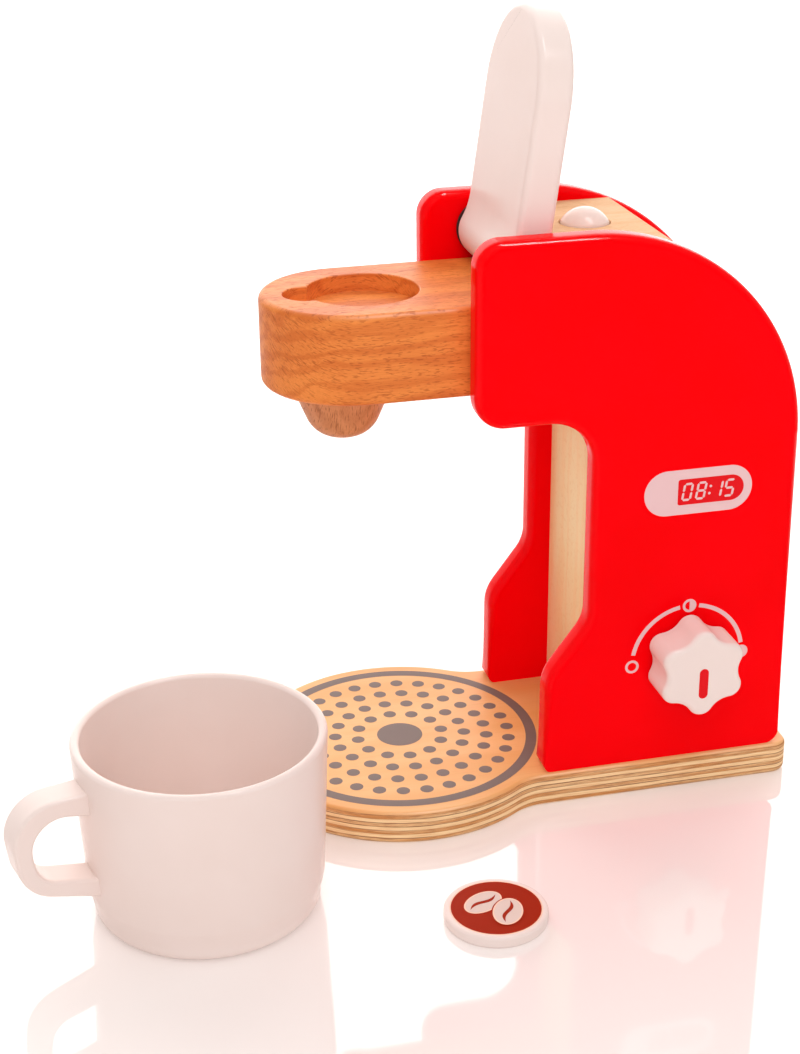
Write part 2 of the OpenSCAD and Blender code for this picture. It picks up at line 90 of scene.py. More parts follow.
@dataclass(frozen=True)
class Line:
    """A straight stroke to a point, in millimetres."""

    to: Vector


@dataclass(frozen=True)
class Arc:
    """A round stroke about a centre, in millimetres, turning left for a positive sweep."""

    centre: Vector
    sweep: float


Stroke = Line | Arc
Outline = tuple[Vector, Sequence[Stroke]]
CENTRE = Vector((0, 0))


@dataclass(frozen=True)
class Sheet:
    """A flat drawing sheet in space.

    Args:
        origin: The sheet's zero point, in metres.
        across: Unit direction of the first coordinate.
        up: Unit direction of the second coordinate.
    """

    origin: Vector
    across: Vector
    up: Vector

    @property
    def normal(self) -> Vector:
        """The direction that the sheet faces."""
        return self.across.cross(self.up)

    def at(self, point: Vector) -> Vector:
        """Gives the place in space of a point on the sheet.

        Args:
            point: The point in millimetres.

        Returns:
            The place in metres.
        """
        return self.origin + (self.across * point.x + self.up * point.y) * MM

    @classmethod
    def side(cls, x: float) -> "Sheet":
        """A sheet that faces +X at a place in metres, with Y across and Z up."""
        return cls(Vector((x, 0, 0)), Vector((0, 1, 0)), Vector((0, 0, 1)))

    @classmethod
    def top(cls, z: float) -> "Sheet":
        """A sheet that faces +Z at a height in metres, with X across and Y up."""
        return cls(Vector((0, 0, z)), Vector((1, 0, 0)), Vector((0, 1, 0)))

    @classmethod
    def upright(cls, axis: Vector, degrees: float = 0.0) -> "Sheet":
        """A sheet that stands on an upright axis and runs out from it in a direction."""
        turn = math.radians(degrees)
        return cls(axis, Vector((math.cos(turn), math.sin(turn), 0)), Vector((0, 0, 1)))


def rounded(corners: Sequence[Corner], closed: bool = True) -> Outline:
    """Turns corners into the outline that rounds them.

    Args:
        corners: The outline's corners in order.
        closed: Whether the outline returns to its first corner.

    Returns:
        The start point and the strokes, in millimetres.
    """
    count = len(corners)
    ends: list[tuple[Vector, Vector, Arc | None]] = []
    for i, corner in enumerate(corners):
        here = corner.point
        if corner.radius == 0 or (not closed and i in (0, count - 1)):
            ends.append((here, here, None))
            continue
        back = (corners[i - 1].point - here).normalized()
        on = (corners[(i + 1) % count].point - here).normalized()
        half = back.angle(on) / 2
        reach = corner.radius / math.tan(half)
        centre = here + (back + on).normalized() * corner.radius / math.sin(half)
        left = back.x * on.y - back.y * on.x < 0
        sweep = (math.pi - 2 * half) * (1 if left else -1)
        ends.append((here + back * reach, here + on * reach, Arc(centre, sweep)))
    strokes: list[Stroke] = []
    order = [*range(1, count), 0] if closed else range(1, count)
    for i in order:
        entry, _, arc = ends[i]
        strokes.append(Line(entry))
        if arc:
            strokes.append(arc)
    return ends[0][1], strokes


def rectangle(low: Vector, high: Vector, radii: Sequence[float]) -> Outline:
    """Gives the outline of a rectangle.

    Args:
        low: Its lower left corner, in millimetres.
        high: Its upper right corner, in millimetres.
        radii: Its corners' radii, from the lower left one round to the right.

    Returns:
        The start point and the strokes, in millimetres.
    """
    places = ((low.x, low.y), (high.x, low.y), (high.x, high.y), (low.x, high.y))
    return rounded([Corner(*place, radius) for place, radius in zip(places, radii)])


def pointing(turn: float) -> Vector:
    """The 2-D unit vector at an angle in radians."""
    return Vector((math.cos(turn), math.sin(turn)))


# --------------------------------------------------------------- modelling


class Bench:
    """Modelling steps made with Blender's own operators, as at a workbench."""

    @staticmethod
    def pick(piece: bpy.types.Object) -> None:
        """Selects one piece and nothing else.

        Args:
            piece: The piece.
        """
        bpy.ops.object.select_all(action="DESELECT")
        piece.select_set(True)
        bpy.context.view_layer.objects.active = piece

    @staticmethod
    @contextmanager
    def editing(piece: bpy.types.Object, everything: bool = True) -> Iterator[None]:
        """Holds a piece in edit mode for the length of a with block.

        Args:
            piece: The piece.
            everything: Whether all of it starts selected.

        Returns:
            The context of the with block.
        """
        Bench.pick(piece)
        bpy.ops.object.mode_set(mode="EDIT")
        if everything:
            bpy.ops.mesh.select_all(action="SELECT")
        yield
        bpy.ops.object.mode_set(mode="OBJECT")

    @staticmethod
    def named(name: str) -> bpy.types.Object:
        """Names the new active object and puts its place into its mesh.

        Args:
            name: The piece's name.

        Returns:
            The piece.
        """
        piece = bpy.context.object
        piece.name = piece.data.name = name
        Bench.pick(piece)
        bpy.ops.object.transform_apply(location=True, rotation=True, scale=True)
        return piece

    @staticmethod
    def draw(name: str, sheet: Sheet, outline: Outline) -> bpy.types.Object:
        """Draws a chain of edges, stroke by stroke, from a single point.

        Args:
            name: The new piece's name.
            sheet: The sheet that is drawn on.
            outline: The first point and the strokes that follow, in millimetres.

        Returns:
            The new piece, a chain of edges.
        """
        start, strokes = outline
        bpy.ops.object.select_all(action="DESELECT")
        bpy.ops.mesh.primitive_plane_add(size=MM, location=sheet.at(start))
        piece = Bench.named(name)
        pen = start.copy()
        with Bench.editing(piece):
            bpy.ops.mesh.select_mode(type="VERT")
            bpy.ops.mesh.merge(type="CENTER")
            for stroke in strokes:
                if isinstance(stroke, Line):
                    step = sheet.at(stroke.to) - sheet.at(pen)
                    if step.length > TOUCH:
                        bpy.ops.mesh.extrude_region_move(TRANSFORM_OT_translate={"value": step})
                    pen = stroke.to.copy()
                else:
                    arm = pen - stroke.centre
                    bpy.ops.mesh.spin(
                        steps=Bench.steps(arm.length, stroke.sweep),
                        angle=-stroke.sweep,  # with no window the operator turns the other way
                        center=sheet.at(stroke.centre),
                        axis=sheet.normal,
                    )
                    pen = stroke.centre + Matrix.Rotation(stroke.sweep, 2) @ arm
            bpy.ops.mesh.select_all(action="SELECT")
            bpy.ops.mesh.remove_doubles(threshold=TOUCH)
        return piece

    @staticmethod
    def steps(radius: float, sweep: float) -> int:
        """How many straight steps an arc takes, for its radius in millimetres and its sweep."""
        return max(3, math.ceil(abs(sweep) * math.sqrt(radius) * ARC_DENSITY))

    @staticmethod
    def board(name: str, sheet: Sheet, outline: Outline, depth: float) -> bpy.types.Object:
        """Draws a closed outline, fills it and extrudes it along the sheet's normal.

        Args:
            name: The new piece's name.
            sheet: The sheet that is drawn on.
            outline: The first point and the strokes that lead back to it, in millimetres.
            depth: The thickness in metres.

        Returns:
            The new solid piece.
        """
        piece = Bench.draw(name, sheet, outline)
        with Bench.editing(piece):
            bpy.ops.mesh.edge_face_add()
        Bench.thicken(piece, sheet.normal * depth)
        return piece

    @staticmethod
    def thicken(piece: bpy.types.Object, move: Vector) -> None:
        """Extrudes a flat piece into a solid whose faces point outwards.

        Args:
            piece: The flat piece.
            move: The way from its face to the new one, in metres.
        """
        with Bench.editing(piece):
            bpy.ops.mesh.extrude_region_move(TRANSFORM_OT_translate={"value": move})
            bpy.ops.mesh.select_all(action="SELECT")
            bpy.ops.mesh.normals_make_consistent(inside=False)

    @staticmethod
    def lathe(name: str, axis: Vector, profile: Sequence[Corner], steps: int = 96) -> bpy.types.Object:
        """Turns a profile about an upright axis.

        Args:
            name: The new piece's name.
            axis: A point on the axis, from which heights are measured.
            profile: Corners as (radius, height), from the axis round to the axis.
            steps: How many steps make the full turn.

        Returns:
            The new turned piece.
        """
        piece = Bench.draw(name, Sheet.upright(axis), rounded(profile, closed=False))
        with Bench.editing(piece):
            bpy.ops.mesh.spin(steps=steps, angle=math.tau, center=axis, axis=(0, 0, 1))
            bpy.ops.mesh.select_all(action="SELECT")
            bpy.ops.mesh.remove_doubles(threshold=TOUCH)
            bpy.ops.mesh.normals_make_consistent(inside=False)
        return piece

    @staticmethod
    def drill(
        piece: bpy.types.Object, start: Vector, direction: Vector, length: float, radius: float
    ) -> None:
        """Drills a round hole into a piece.

        Args:
            piece: The piece.
            start: Middle of the drill's first end, outside the piece, in metres.
            direction: Unit direction in which it runs.
            length: How far it runs from there, in metres.
            radius: The hole's radius in metres.
        """
        bpy.ops.object.select_all(action="DESELECT")
        bpy.ops.mesh.primitive_cylinder_add(
            vertices=96,
            radius=radius,
            depth=length,
            location=start + direction * length / 2,
            rotation=direction.to_track_quat("Z", "Y").to_euler(),
        )
        Bench.cut(piece, Bench.named("drill"))

    @staticmethod
    def cut(piece: bpy.types.Object, tool: bpy.types.Object, operation: str = "DIFFERENCE") -> None:
        """Cuts a piece with a tool and throws the tool away.

        Args:
            piece: The piece that is kept.
            tool: The piece that is used up.
            operation: The Boolean modifier's operation.
        """
        Bench.pick(piece)
        change = piece.modifiers.new("cut", "BOOLEAN")
        change.operation, change.solver, change.object = operation, "EXACT", tool
        bpy.ops.object.modifier_apply(modifier=change.name)
        bpy.data.objects.remove(tool, do_unlink=True)

    @staticmethod
    def round_edges(piece: bpy.types.Object, radius: float, along: EdgeTest, segments: int = 4) -> None:
        """Rounds the edges that a test picks by their two ends.

        Args:
            piece: The piece.
            radius: The rounding's radius in millimetres.
            along: Says of an edge's two ends whether it is rounded.
            segments: How many faces the rounding has.
        """
        mesh = piece.data
        with Bench.editing(piece):
            bpy.ops.mesh.select_mode(type="EDGE")
            bpy.ops.mesh.select_all(action="DESELECT")
        for edge in mesh.edges:
            edge.select = along(*(mesh.vertices[i].co for i in edge.vertices))
        with Bench.editing(piece, everything=False):
            bpy.ops.mesh.bevel(
                offset_type="OFFSET",
                offset=radius * MM,
                segments=segments,
                profile=0.5,
                affect="EDGES",
                clamp_overlap=False,
            )

    @staticmethod
    def finish(piece: bpy.types.Object, degrees: float = 32.0) -> bpy.types.Object:
        """Shades a piece smooth, with flat faces kept flat beside their rounded edges.

        Args:
            piece: The piece.
            degrees: Edges sharper than this stay sharp.

        Returns:
            The same piece.
        """
        Bench.pick(piece)
        bpy.ops.object.shade_smooth_by_angle(angle=math.radians(degrees))
        change = piece.modifiers.new("flat faces", "WEIGHTED_NORMAL")
        change.keep_sharp = True
        bpy.ops.object.modifier_apply(modifier=change.name)
        return piece

    @staticmethod
    def copy(piece: bpy.types.Object, name: str, shift: Vector) -> bpy.types.Object:
        """Copies a piece with its own mesh and moves the copy.

        Args:
            piece: The piece to copy.
            name: The copy's name.
            shift: How far the copy moves, in metres.

        Returns:
            The copy.
        """
        Bench.pick(piece)
        bpy.ops.object.duplicate(linked=False)
        bpy.ops.transform.translate(value=shift)
        return Bench.named(name)

    @staticmethod
    def join(name: str, pieces: Sequence[bpy.types.Object]) -> bpy.types.Object:
        """Joins pieces into one.

        Args:
            name: The joined piece's name.
            pieces: The pieces, which are used up.

        Returns:
            The joined piece.
        """
        Bench.pick(pieces[0])
        for piece in pieces:
            piece.select_set(True)
        bpy.ops.object.join()
        return Bench.named(name)


def lies_at(axis: int, *levels: float) -> EdgeTest:
    """Makes a test for edges that lie wholly at one of some levels along an axis.

    Args:
        axis: 0, 1 or 2 for X, Y or Z.
        levels: The levels in metres.

    Returns:
        The test.
    """
    return lambda a, b: any(abs(a[axis] - at) < TOUCH and abs(b[axis] - at) < TOUCH for at in levels)


def middle(node: str) -> Vector:
    """The middle of a node's box, in metres."""
    low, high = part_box(node)
    return (low + high) / 2


@dataclass(frozen=True)
class Press:
    """Prints flat forms of ink on a face.

    Args:
        sheet: The printed face.
        height: The ink's height in millimetres.
    """

    sheet: Sheet
    height: float = 0.05

    def patch(self, name: str, outline: Outline) -> bpy.types.Object:
        """Prints a form of any outline."""
        return Bench.board(name, self.sheet, outline, self.height * MM)

    def disc(self, name: str, centre: Vector, radius: float, vertices: int = 32) -> bpy.types.Object:
        """Prints a disc.

        Args:
            name: The new piece's name.
            centre: The disc's centre on the sheet, in millimetres.
            radius: Its radius in millimetres.
            vertices: How many corners its rim has.

        Returns:
            The new piece.
        """
        bpy.ops.object.select_all(action="DESELECT")
        bpy.ops.mesh.primitive_circle_add(
            vertices=vertices,
            radius=radius * MM,
            fill_type="NGON",
            location=self.sheet.at(centre),
            rotation=self.sheet.normal.to_track_quat("Z", "Y").to_euler(),
        )
        disc = Bench.named(name)
        Bench.thicken(disc, self.sheet.normal * self.height * MM)
        return disc

    def arc(
        self, name: str, centre: Vector, radii: tuple[float, float], start: float, sweep: float
    ) -> bpy.types.Object:
        """Prints a band along an arc.

        Args:
            name: The new piece's name.
            centre: The arc's centre on the sheet, in millimetres.
            radii: Inner and outer radius in millimetres.
            start: Direction of the first end, in degrees.
            sweep: How far the band runs, in degrees.

        Returns:
            The new piece.
        """
        inner, outer = radii
        turn = math.radians(sweep)
        way = pointing(math.radians(start))
        end = Matrix.Rotation(turn, 2) @ way
        first = centre + way * outer
        strokes: list[Stroke] = [Arc(centre, turn), Line(centre + end * inner), Arc(centre, -turn), Line(first)]
        return self.patch(name, (first, strokes))

    def ring(self, name: str, centre: Vector, radii: tuple[float, float]) -> bpy.types.Object:
        """Prints a ring as two half bands joined into one piece.

        Args:
            name: The new piece's name.
            centre: The ring's centre on the sheet, in millimetres.
            radii: Inner and outer radius in millimetres.

        Returns:
            The new piece.
        """
        return Bench.join(name, [self.arc(f"{name}_{start}", centre, radii, start, 180) for start in (0, 180)])


# -------------------------------------------------------------- materials


class Value:
    """A number socket that takes part in Python sums; each sum adds its Math node."""

    def __init__(self, graph: "Graph", socket: bpy.types.NodeSocket) -> None:
        """Wraps a socket of a graph."""
        self.graph = graph
        self.socket = socket

    def __add__(self, other: "Value | float") -> "Value":
        """self + other."""
        return self.graph.math("ADD", self, other)

    __radd__ = __add__

    def __sub__(self, other: "Value | float") -> "Value":
        """self - other."""
        return self.graph.math("SUBTRACT", self, other)

    def __rsub__(self, other: float) -> "Value":
        """other - self."""
        return self.graph.math("SUBTRACT", other, self)

    def __mul__(self, other: "Value | float") -> "Value":
        """self * other."""
        return self.graph.math("MULTIPLY", self, other)

    __rmul__ = __mul__

    def __truediv__(self, other: "Value | float") -> "Value":
        """self / other."""
        return self.graph.math("DIVIDE", self, other)

    def __rtruediv__(self, other: float) -> "Value":
        """other / self."""
        return self.graph.math("DIVIDE", other, self)

    def __mod__(self, other: "Value | float") -> "Value":
        """self % other, never negative."""
        return self.graph.math("FLOORED_MODULO", self, other)

    def __abs__(self) -> "Value":
        """abs(self)."""
        return self.graph.math("ABSOLUTE", self)

    def __gt__(self, other: "Value | float") -> "Value":
        """1 where self is more than other, and 0 elsewhere."""
        return self.graph.math("GREATER_THAN", self, other)

    def sin(self) -> "Value":
        """The sine of self, in radians."""
        return self.graph.math("SINE", self)

    def floor(self) -> "Value":
        """self rounded down."""
        return self.graph.math("FLOOR", self)

    def ramp(self, low: float, high: float) -> "Value":
        """Rises smoothly from 0 at low to 1 at high."""
        settings = {"interpolation_type": "SMOOTHSTEP"}
        return Value(self.graph, self.graph.node("ShaderNodeMapRange", settings, [self, low, high]).outputs[0])


Input = Value | bpy.types.NodeSocket | float | Sequence[float]


class Graph:
    """The node tree of a material or of a world."""

    def __init__(self, owner: bpy.types.Material | bpy.types.World, coordinates: str = "Object") -> None:
        """Empties the owner's tree and reads its coordinates.

        Args:
            owner: The material or the world.
            coordinates: Which texture coordinates place its patterns.
        """
        owner.use_nodes = True
        self.owner = owner
        self.tree = owner.node_tree
        self.tree.nodes.clear()
        self.place = self.node("ShaderNodeTexCoord").outputs[coordinates]

    def node(
        self,
        kind: str,
        settings: dict[str, object] | None = None,
        inputs: Sequence[Input] | dict[str | int, Input] = (),
    ) -> bpy.types.Node:
        """Adds a node.

        Args:
            kind: The node's type.
            settings: Its own settings, set before its sockets.
            inputs: Values or sockets, in order, by name or by place.

        Returns:
            The node.
        """
        node = self.tree.nodes.new(kind)
        for key, setting in (settings or {}).items():
            setattr(node, key, setting)
        pairs = inputs.items() if isinstance(inputs, dict) else enumerate(inputs)
        for key, value in pairs:
            socket = value.socket if isinstance(value, Value) else value
            if isinstance(socket, bpy.types.NodeSocket):
                self.tree.links.new(socket, node.inputs[key])
            else:
                node.inputs[key].default_value = socket
        return node

    def math(self, operation: str, *values: "Value | float") -> Value:
        """Adds a Math node and gives its result."""
        return Value(self, self.node("ShaderNodeMath", {"operation": operation}, values).outputs[0])

    def mapped(self, size: Sequence[float], turn: Vector) -> bpy.types.NodeSocket:
        """Gives coordinates in which one unit is a given size.

        Args:
            size: The size of a unit along each axis, in millimetres.
            turn: How the axes are turned, in degrees about X, Y and Z.

        Returns:
            The coordinates' socket.
        """
        turned = tuple(math.radians(angle) for angle in turn)
        inputs = {"Vector": self.place, "Rotation": turned, "Scale": Vector(size) * MM}
        return self.node("ShaderNodeMapping", {"vector_type": "TEXTURE"}, inputs).outputs[0]

    def along(self, axis: int, place: bpy.types.NodeSocket) -> Value:
        """One coordinate of a place, with 0, 1 or 2 for X, Y or Z."""
        return Value(self, self.node("ShaderNodeSeparateXYZ", {}, [place]).outputs[axis])

    def noise(self, *size: float, turn: Vector = Vector(), detail: float = 2.0, warp: float = 0.0) -> Value:
        """Adds noise from 0 to 1.

        Args:
            size: Length of its features along X, Y and Z in millimetres, or one length for all three.
            turn: How the axes are turned, in degrees about X, Y and Z.
            detail: How many finer layers it has.
            warp: How strongly it is distorted.

        Returns:
            The noise.
        """
        place = self.mapped(size if len(size) == 3 else size * 3, turn)
        inputs = {"Vector": place, "Scale": 1.0, "Detail": detail, "Distortion": warp}
        return Value(self, self.node("ShaderNodeTexNoise", {}, inputs).outputs[0])

    def blend(self, share: Value, under: Input, over: Input) -> bpy.types.NodeSocket:
        """Lays one colour over another.

        Args:
            share: How far the second covers the first, from 0 to 1.
            under: The first colour.
            over: The second colour.

        Returns:
            The blended colour.
        """
        first, second = (c if isinstance(c, bpy.types.NodeSocket) else (*c, 1.0) for c in (under, over))
        inputs = {MIX_SHARE: share, MIX_UNDER: first, MIX_OVER: second}
        mix = self.node("ShaderNodeMix", {"data_type": "RGBA", "clamp_factor": True}, inputs)
        return mix.outputs[MIX_RESULT]

    def surface(
        self,
        colour: bpy.types.NodeSocket,
        roughness: Value,
        relief: Value | None = None,
        depth: float = 0.0,
        **sockets: Input,
    ) -> bpy.types.Material:
        """Closes a material's tree with a surface shader.

        Args:
            colour: The surface's colour.
            roughness: Its roughness.
            relief: Height of its relief from 0 to 1, if it has one.
            depth: The relief's depth in millimetres.
            sockets: Values for the shader's other sockets, with _ for each space.

        Returns:
            The finished material.
        """
        inputs: dict[str, Input] = {"Base Color": colour, "Roughness": roughness}
        if relief is not None:
            bump = self.node("ShaderNodeBump", {}, {"Strength": 1.0, "Distance": depth * MM, "Height": relief})
            inputs["Normal"] = bump.outputs[0]
        inputs |= {key.replace("_", " "): value for key, value in sockets.items()}
        shader = self.node("ShaderNodeBsdfPrincipled", {}, inputs)
        self.node("ShaderNodeOutputMaterial", {}, [shader.outputs[0]])
        return self.owner

    def towards(self, direction: Vector) -> Value:
        """Measures how nearly a world's coordinates point in a direction.

        Args:
            direction: The direction.

        Returns:
            The cosine of the angle between the two.
        """
        inputs = [self.place, direction.normalized()]
        turned = self.node("ShaderNodeVectorMath", {"operation": "DOT_PRODUCT"}, inputs)
        return Value(self, turned.outputs["Value"])

    def surround(self, colour: Colour, strength: Value) -> bpy.types.World:
        """Closes a world's tree.

        Args:
            colour: The surround's colour.
            strength: Its brightness.

        Returns:
            The finished world.
        """
        background = self.node("ShaderNodeBackground", {}, [(*colour, 1.0), strength])
        self.node("ShaderNodeOutputWorld", {}, [background.outputs[0]])
        return self.owner


@dataclass(frozen=True)
class Finish:
    """A finish that a piece of the toy can have.

    Args:
        name: The material's name.
    """

    name: str

    def material(self) -> bpy.types.Material:
        """Makes the finish's material."""
        raise NotImplementedError

    def graph(self) -> Graph:
        """An empty material's node tree."""
        return Graph(bpy.data.materials.new(self.name))

    def dress(self, *pieces: bpy.types.Object) -> None:
        """Gives the finish to pieces, made once and shared by all of them.

        Args:
            pieces: The pieces.
        """
        material = bpy.data.materials.get(self.name) or self.material()
        for piece in pieces:
            piece.data.materials.clear()
            piece.data.materials.append(material)


@dataclass(frozen=True)
class Lacquer(Finish):
    """Smooth lacquer over sanded wood.

    Args:
        colour: Its main colour.
        shade: The colour in its faint cloudy patches.
        gloss: Its roughness.
        sheen: Strength of its reflections, 0.5 for plain varnish.
        cloud: Size of the patches in millimetres.
        wave: Length of the spray finish's faint waves in millimetres.
        peel: Depth of the waves in millimetres.
    """

    colour: Colour
    shade: Colour
    gloss: float = 0.3
    sheen: float = 0.5
    cloud: float = 30.0
    wave: float = 4.0
    peel: float = 0.02

    def material(self) -> bpy.types.Material:
        """Lays clouds for the colour and fine waves for the gloss.

        Returns:
            The lacquer's material.
        """
        graph = self.graph()
        patches = graph.noise(self.cloud, detail=3)
        waves = graph.noise(self.wave)
        colour = graph.blend(patches.ramp(0.35, 0.7), self.colour, self.shade)
        roughness = self.gloss + (waves - 0.5) * 0.12
        coat = {"Coat_Weight": self.coat(graph), "Coat_Roughness": 0.06}
        return graph.surface(colour, roughness, waves, self.peel, Specular_IOR_Level=self.sheen, **coat)

    def coat(self, graph: Graph) -> Value | float:
        """Weight of a glossy coat over the lacquer, none here."""
        return 0.0


@dataclass(frozen=True)
class EdgedLacquer(Lacquer):
    """Lacquer that is rubbed down on a board's two faces and left glossy round its edges.

    Args:
        board: Distances of the board's faces from the toy's middle plane, in millimetres.
        edge_coat: Weight of the glossy coat round the edges.
        fade: How far inside a face the coat ends and begins to end, in millimetres.
    """

    board: tuple[float, float] = (30.0, 40.0)
    edge_coat: float = 0.12
    fade: tuple[float, float] = (0.6, 0.05)

    def coat(self, graph: Graph) -> Value:
        """Fades the coat from the rounded edges to nothing on the faces.

        Args:
            graph: The material's node tree.

        Returns:
            The coat's weight.
        """
        low, high = self.board
        half = (high - low) / 2
        away = abs(abs(graph.along(0, graph.place)) / MM - (low + high) / 2)
        return (1 - away.ramp(half - self.fade[0], half - self.fade[1])) * self.edge_coat


@dataclass(frozen=True)
class Wood(Finish):
    """Solid wood with growth rings, fibres and the short dark flecks of its rays.

    The grain runs along the texture's own Y, the rays along its X.

    Args:
        pale: Colour between the rings.
        deep: Colour of the rings.
        fleck: Colour of the ray flecks.
        turn: How the grain is turned, in degrees about X, Y and Z.
        ring: Distance between growth rings in millimetres.
        ring_turn: How far the rings lean from the rays' own place, in degrees about Y.
        wander: How many rings wide the rings' waves are.
        fleck_size: Length of a fleck along the grain in millimetres.
        fleck_width: Thickness of a fleck in millimetres.
        fleck_share: How strongly the flecks show.
        gloss: Roughness of the oiled surface.
        sheen: Strength of its reflections, 0.5 for plain varnish.
        depth: Depth of the fleck's and fibres' relief in millimetres.
    """

    pale: Colour
    deep: Colour
    fleck: Colour
    turn: Vector = Vector((0, 0, 0))
    ring: float = 5.0
    ring_turn: float = 0.0
    wander: float = 2.4
    fleck_size: float = 3.2
    fleck_width: float = 0.34
    fleck_share: float = 0.75
    gloss: float = 0.45
    sheen: float = 0.2
    depth: float = 0.05

    def material(self) -> bpy.types.Material:
        """Lays rings, clouds, fibres and flecks over each other.

        Returns:
            The wood's material.
        """
        graph = self.graph()
        cloud = graph.noise(16, 60, 16, turn=self.turn)
        waves = graph.noise(9, 45, 9, turn=self.turn, detail=3)
        fibre = graph.noise(0.5, 14, 0.5, turn=self.turn, detail=3)
        lean = self.turn + Vector((0, self.ring_turn, 0))
        inward = graph.along(0, graph.mapped((1, 1, 1), lean))
        rings = ((inward / self.ring + waves * self.wander) * math.tau).sin() * 0.5 + 0.5
        fleck = (self.fleck_size, self.fleck_size, self.fleck_width)
        rays = graph.noise(*fleck, turn=self.turn, detail=1.5, warp=0.15)
        flecks = rays.ramp(0.53, 0.68) * (cloud.ramp(0.3, 0.6) * 0.4 + 0.6)
        tone = rings.ramp(0.25, 1.0) * 0.5 + fibre.ramp(0.3, 0.75) * 0.35 + cloud.ramp(0.35, 0.7) * 0.35
        colour = graph.blend(tone, self.pale, self.deep)
        colour = graph.blend(flecks * self.fleck_share, colour, self.fleck)
        relief = 1 - flecks * 0.8 - fibre * 0.3
        roughness = self.gloss + (fibre - 0.5) * 0.15 + flecks * 0.1
        return graph.surface(colour, roughness, relief, self.depth, Specular_IOR_Level=self.sheen)


@dataclass(frozen=True)
class Plywood(Finish):
    """A plywood board that lies flat, with its plies showing on the edge.

    Args:
        face: Colour of the varnished face.
        warm: Colour of the face's darker patches.
        long_grain: Colour of a ply that runs along the edge.
        end_grain: Colour of a ply cut across.
        glue: Colour of the line between two plies.
        thickness: The board's thickness in millimetres.
        plies: How many plies it has.
        skin: Thickness of the two outer plies in millimetres.
        waver: How many plies high the plies' waves are.
        depth: Depth of the edge's relief in millimetres.
    """

    face: Colour
    warm: Colour
    long_grain: Colour
    end_grain: Colour
    glue: Colour
    thickness: float
    plies: int = 9
    skin: float = 0.8
    waver: float = 0.22
    depth: float = 0.12

    def material(self) -> bpy.types.Material:
        """Lays plies by height, with a veneer's fine grain on the outermost.

        Returns:
            The board's material.
        """
        graph = self.graph()
        waves = graph.noise(24, 24, 6)
        inner = (self.thickness - 2 * self.skin) / (self.plies - 2)
        height = (graph.along(2, graph.place) / MM - self.skin) / inner + 1 + (waves - 0.5) * self.waver
        ply = height.floor()
        within = height - ply
        across = ply % 2
        outer = (height > self.plies - 1).ramp(0, 1)
        streaks = graph.noise(9, 9, 0.16, detail=3)
        pores = graph.noise(5, 5, 0.14, detail=3)
        voids = graph.noise(30, 30, 1.2)
        long_ply = graph.blend(streaks.ramp(0.35, 0.75) * 0.6, self.long_grain, self.end_grain)
        cross_ply = graph.blend(voids.ramp(0.35, 0.65) * 0.55, self.end_grain, self.long_grain)
        cross_ply = graph.blend(pores.ramp(0.45, 0.65) * 0.6, cross_ply, self.glue)
        edge = graph.blend(across, long_ply, cross_ply)
        seam = 1 - graph.math("MINIMUM", within, 1 - within).ramp(0.02, 0.16)
        edge = graph.blend(seam * voids.ramp(0.4, 0.62), edge, self.glue)
        grain = graph.noise(0.5, 26, 4, detail=3)
        figure = graph.noise(14, 70, 20)
        veneer = graph.blend(figure.ramp(0.3, 0.72), self.face, self.warm)
        veneer = graph.blend(grain.ramp(0.5, 0.8) * 0.35, veneer, self.end_grain)
        colour = graph.blend(outer, edge, veneer)
        relief = 1 - seam * (1 - outer) - across * pores * 0.5 * (1 - outer) - grain * 0.15 * outer
        roughness = 0.42 + (1 - outer) * 0.2 + (grain - 0.5) * 0.1
        return graph.surface(colour, roughness, relief, self.depth, Specular_IOR_Level=0.2)


@dataclass(frozen=True)
class Ink(Finish):
    """Printing ink with a faintly mottled coat.

    Args:
        colour: The ink's colour.
        thin: The colour where the coat is thin.
        gloss: Its roughness.
        sheen: Strength of its reflections, 0.5 for plain varnish.
    """

    colour: Colour
    thin: Colour
    gloss: float = 0.4
    sheen: float = 0.1

    def material(self) -> bpy.types.Material:
        """Lays a fine mottle in colour and gloss.

        Returns:
            The ink's material.
        """
        graph = self.graph()
        mottle = graph.noise(0.6, detail=3)
        patches = graph.noise(8)
        share = mottle.ramp(0.55, 0.9) * 0.5 + patches.ramp(0.4, 0.8) * 0.3
        colour = graph.blend(share, self.colour, self.thin)
        return graph.surface(colour, self.gloss + mottle * 0.1, mottle, 0.004, Specular_IOR_Level=self.sheen)


@dataclass(frozen=True)
class Metal(Finish):
    """Plain metal with fine turning marks.

    Args:
        colour: The metal's colour.
        dull: How bright the marks are beside it.
        gloss: Its roughness.
    """

    colour: Colour
    dull: float = 0.82
    gloss: float = 0.3

    def material(self) -> bpy.types.Material:
        """Lays fine scratches in the gloss.

        Returns:
            The metal's material.
        """
        graph = self.graph()
        marks = graph.noise(3, 3, 0.15)
        tone = graph.blend(marks, self.colour, tuple(part * self.dull for part in self.colour))
        return graph.surface(tone, self.gloss + marks * 0.15, marks, 0.01, Metallic=1.0)


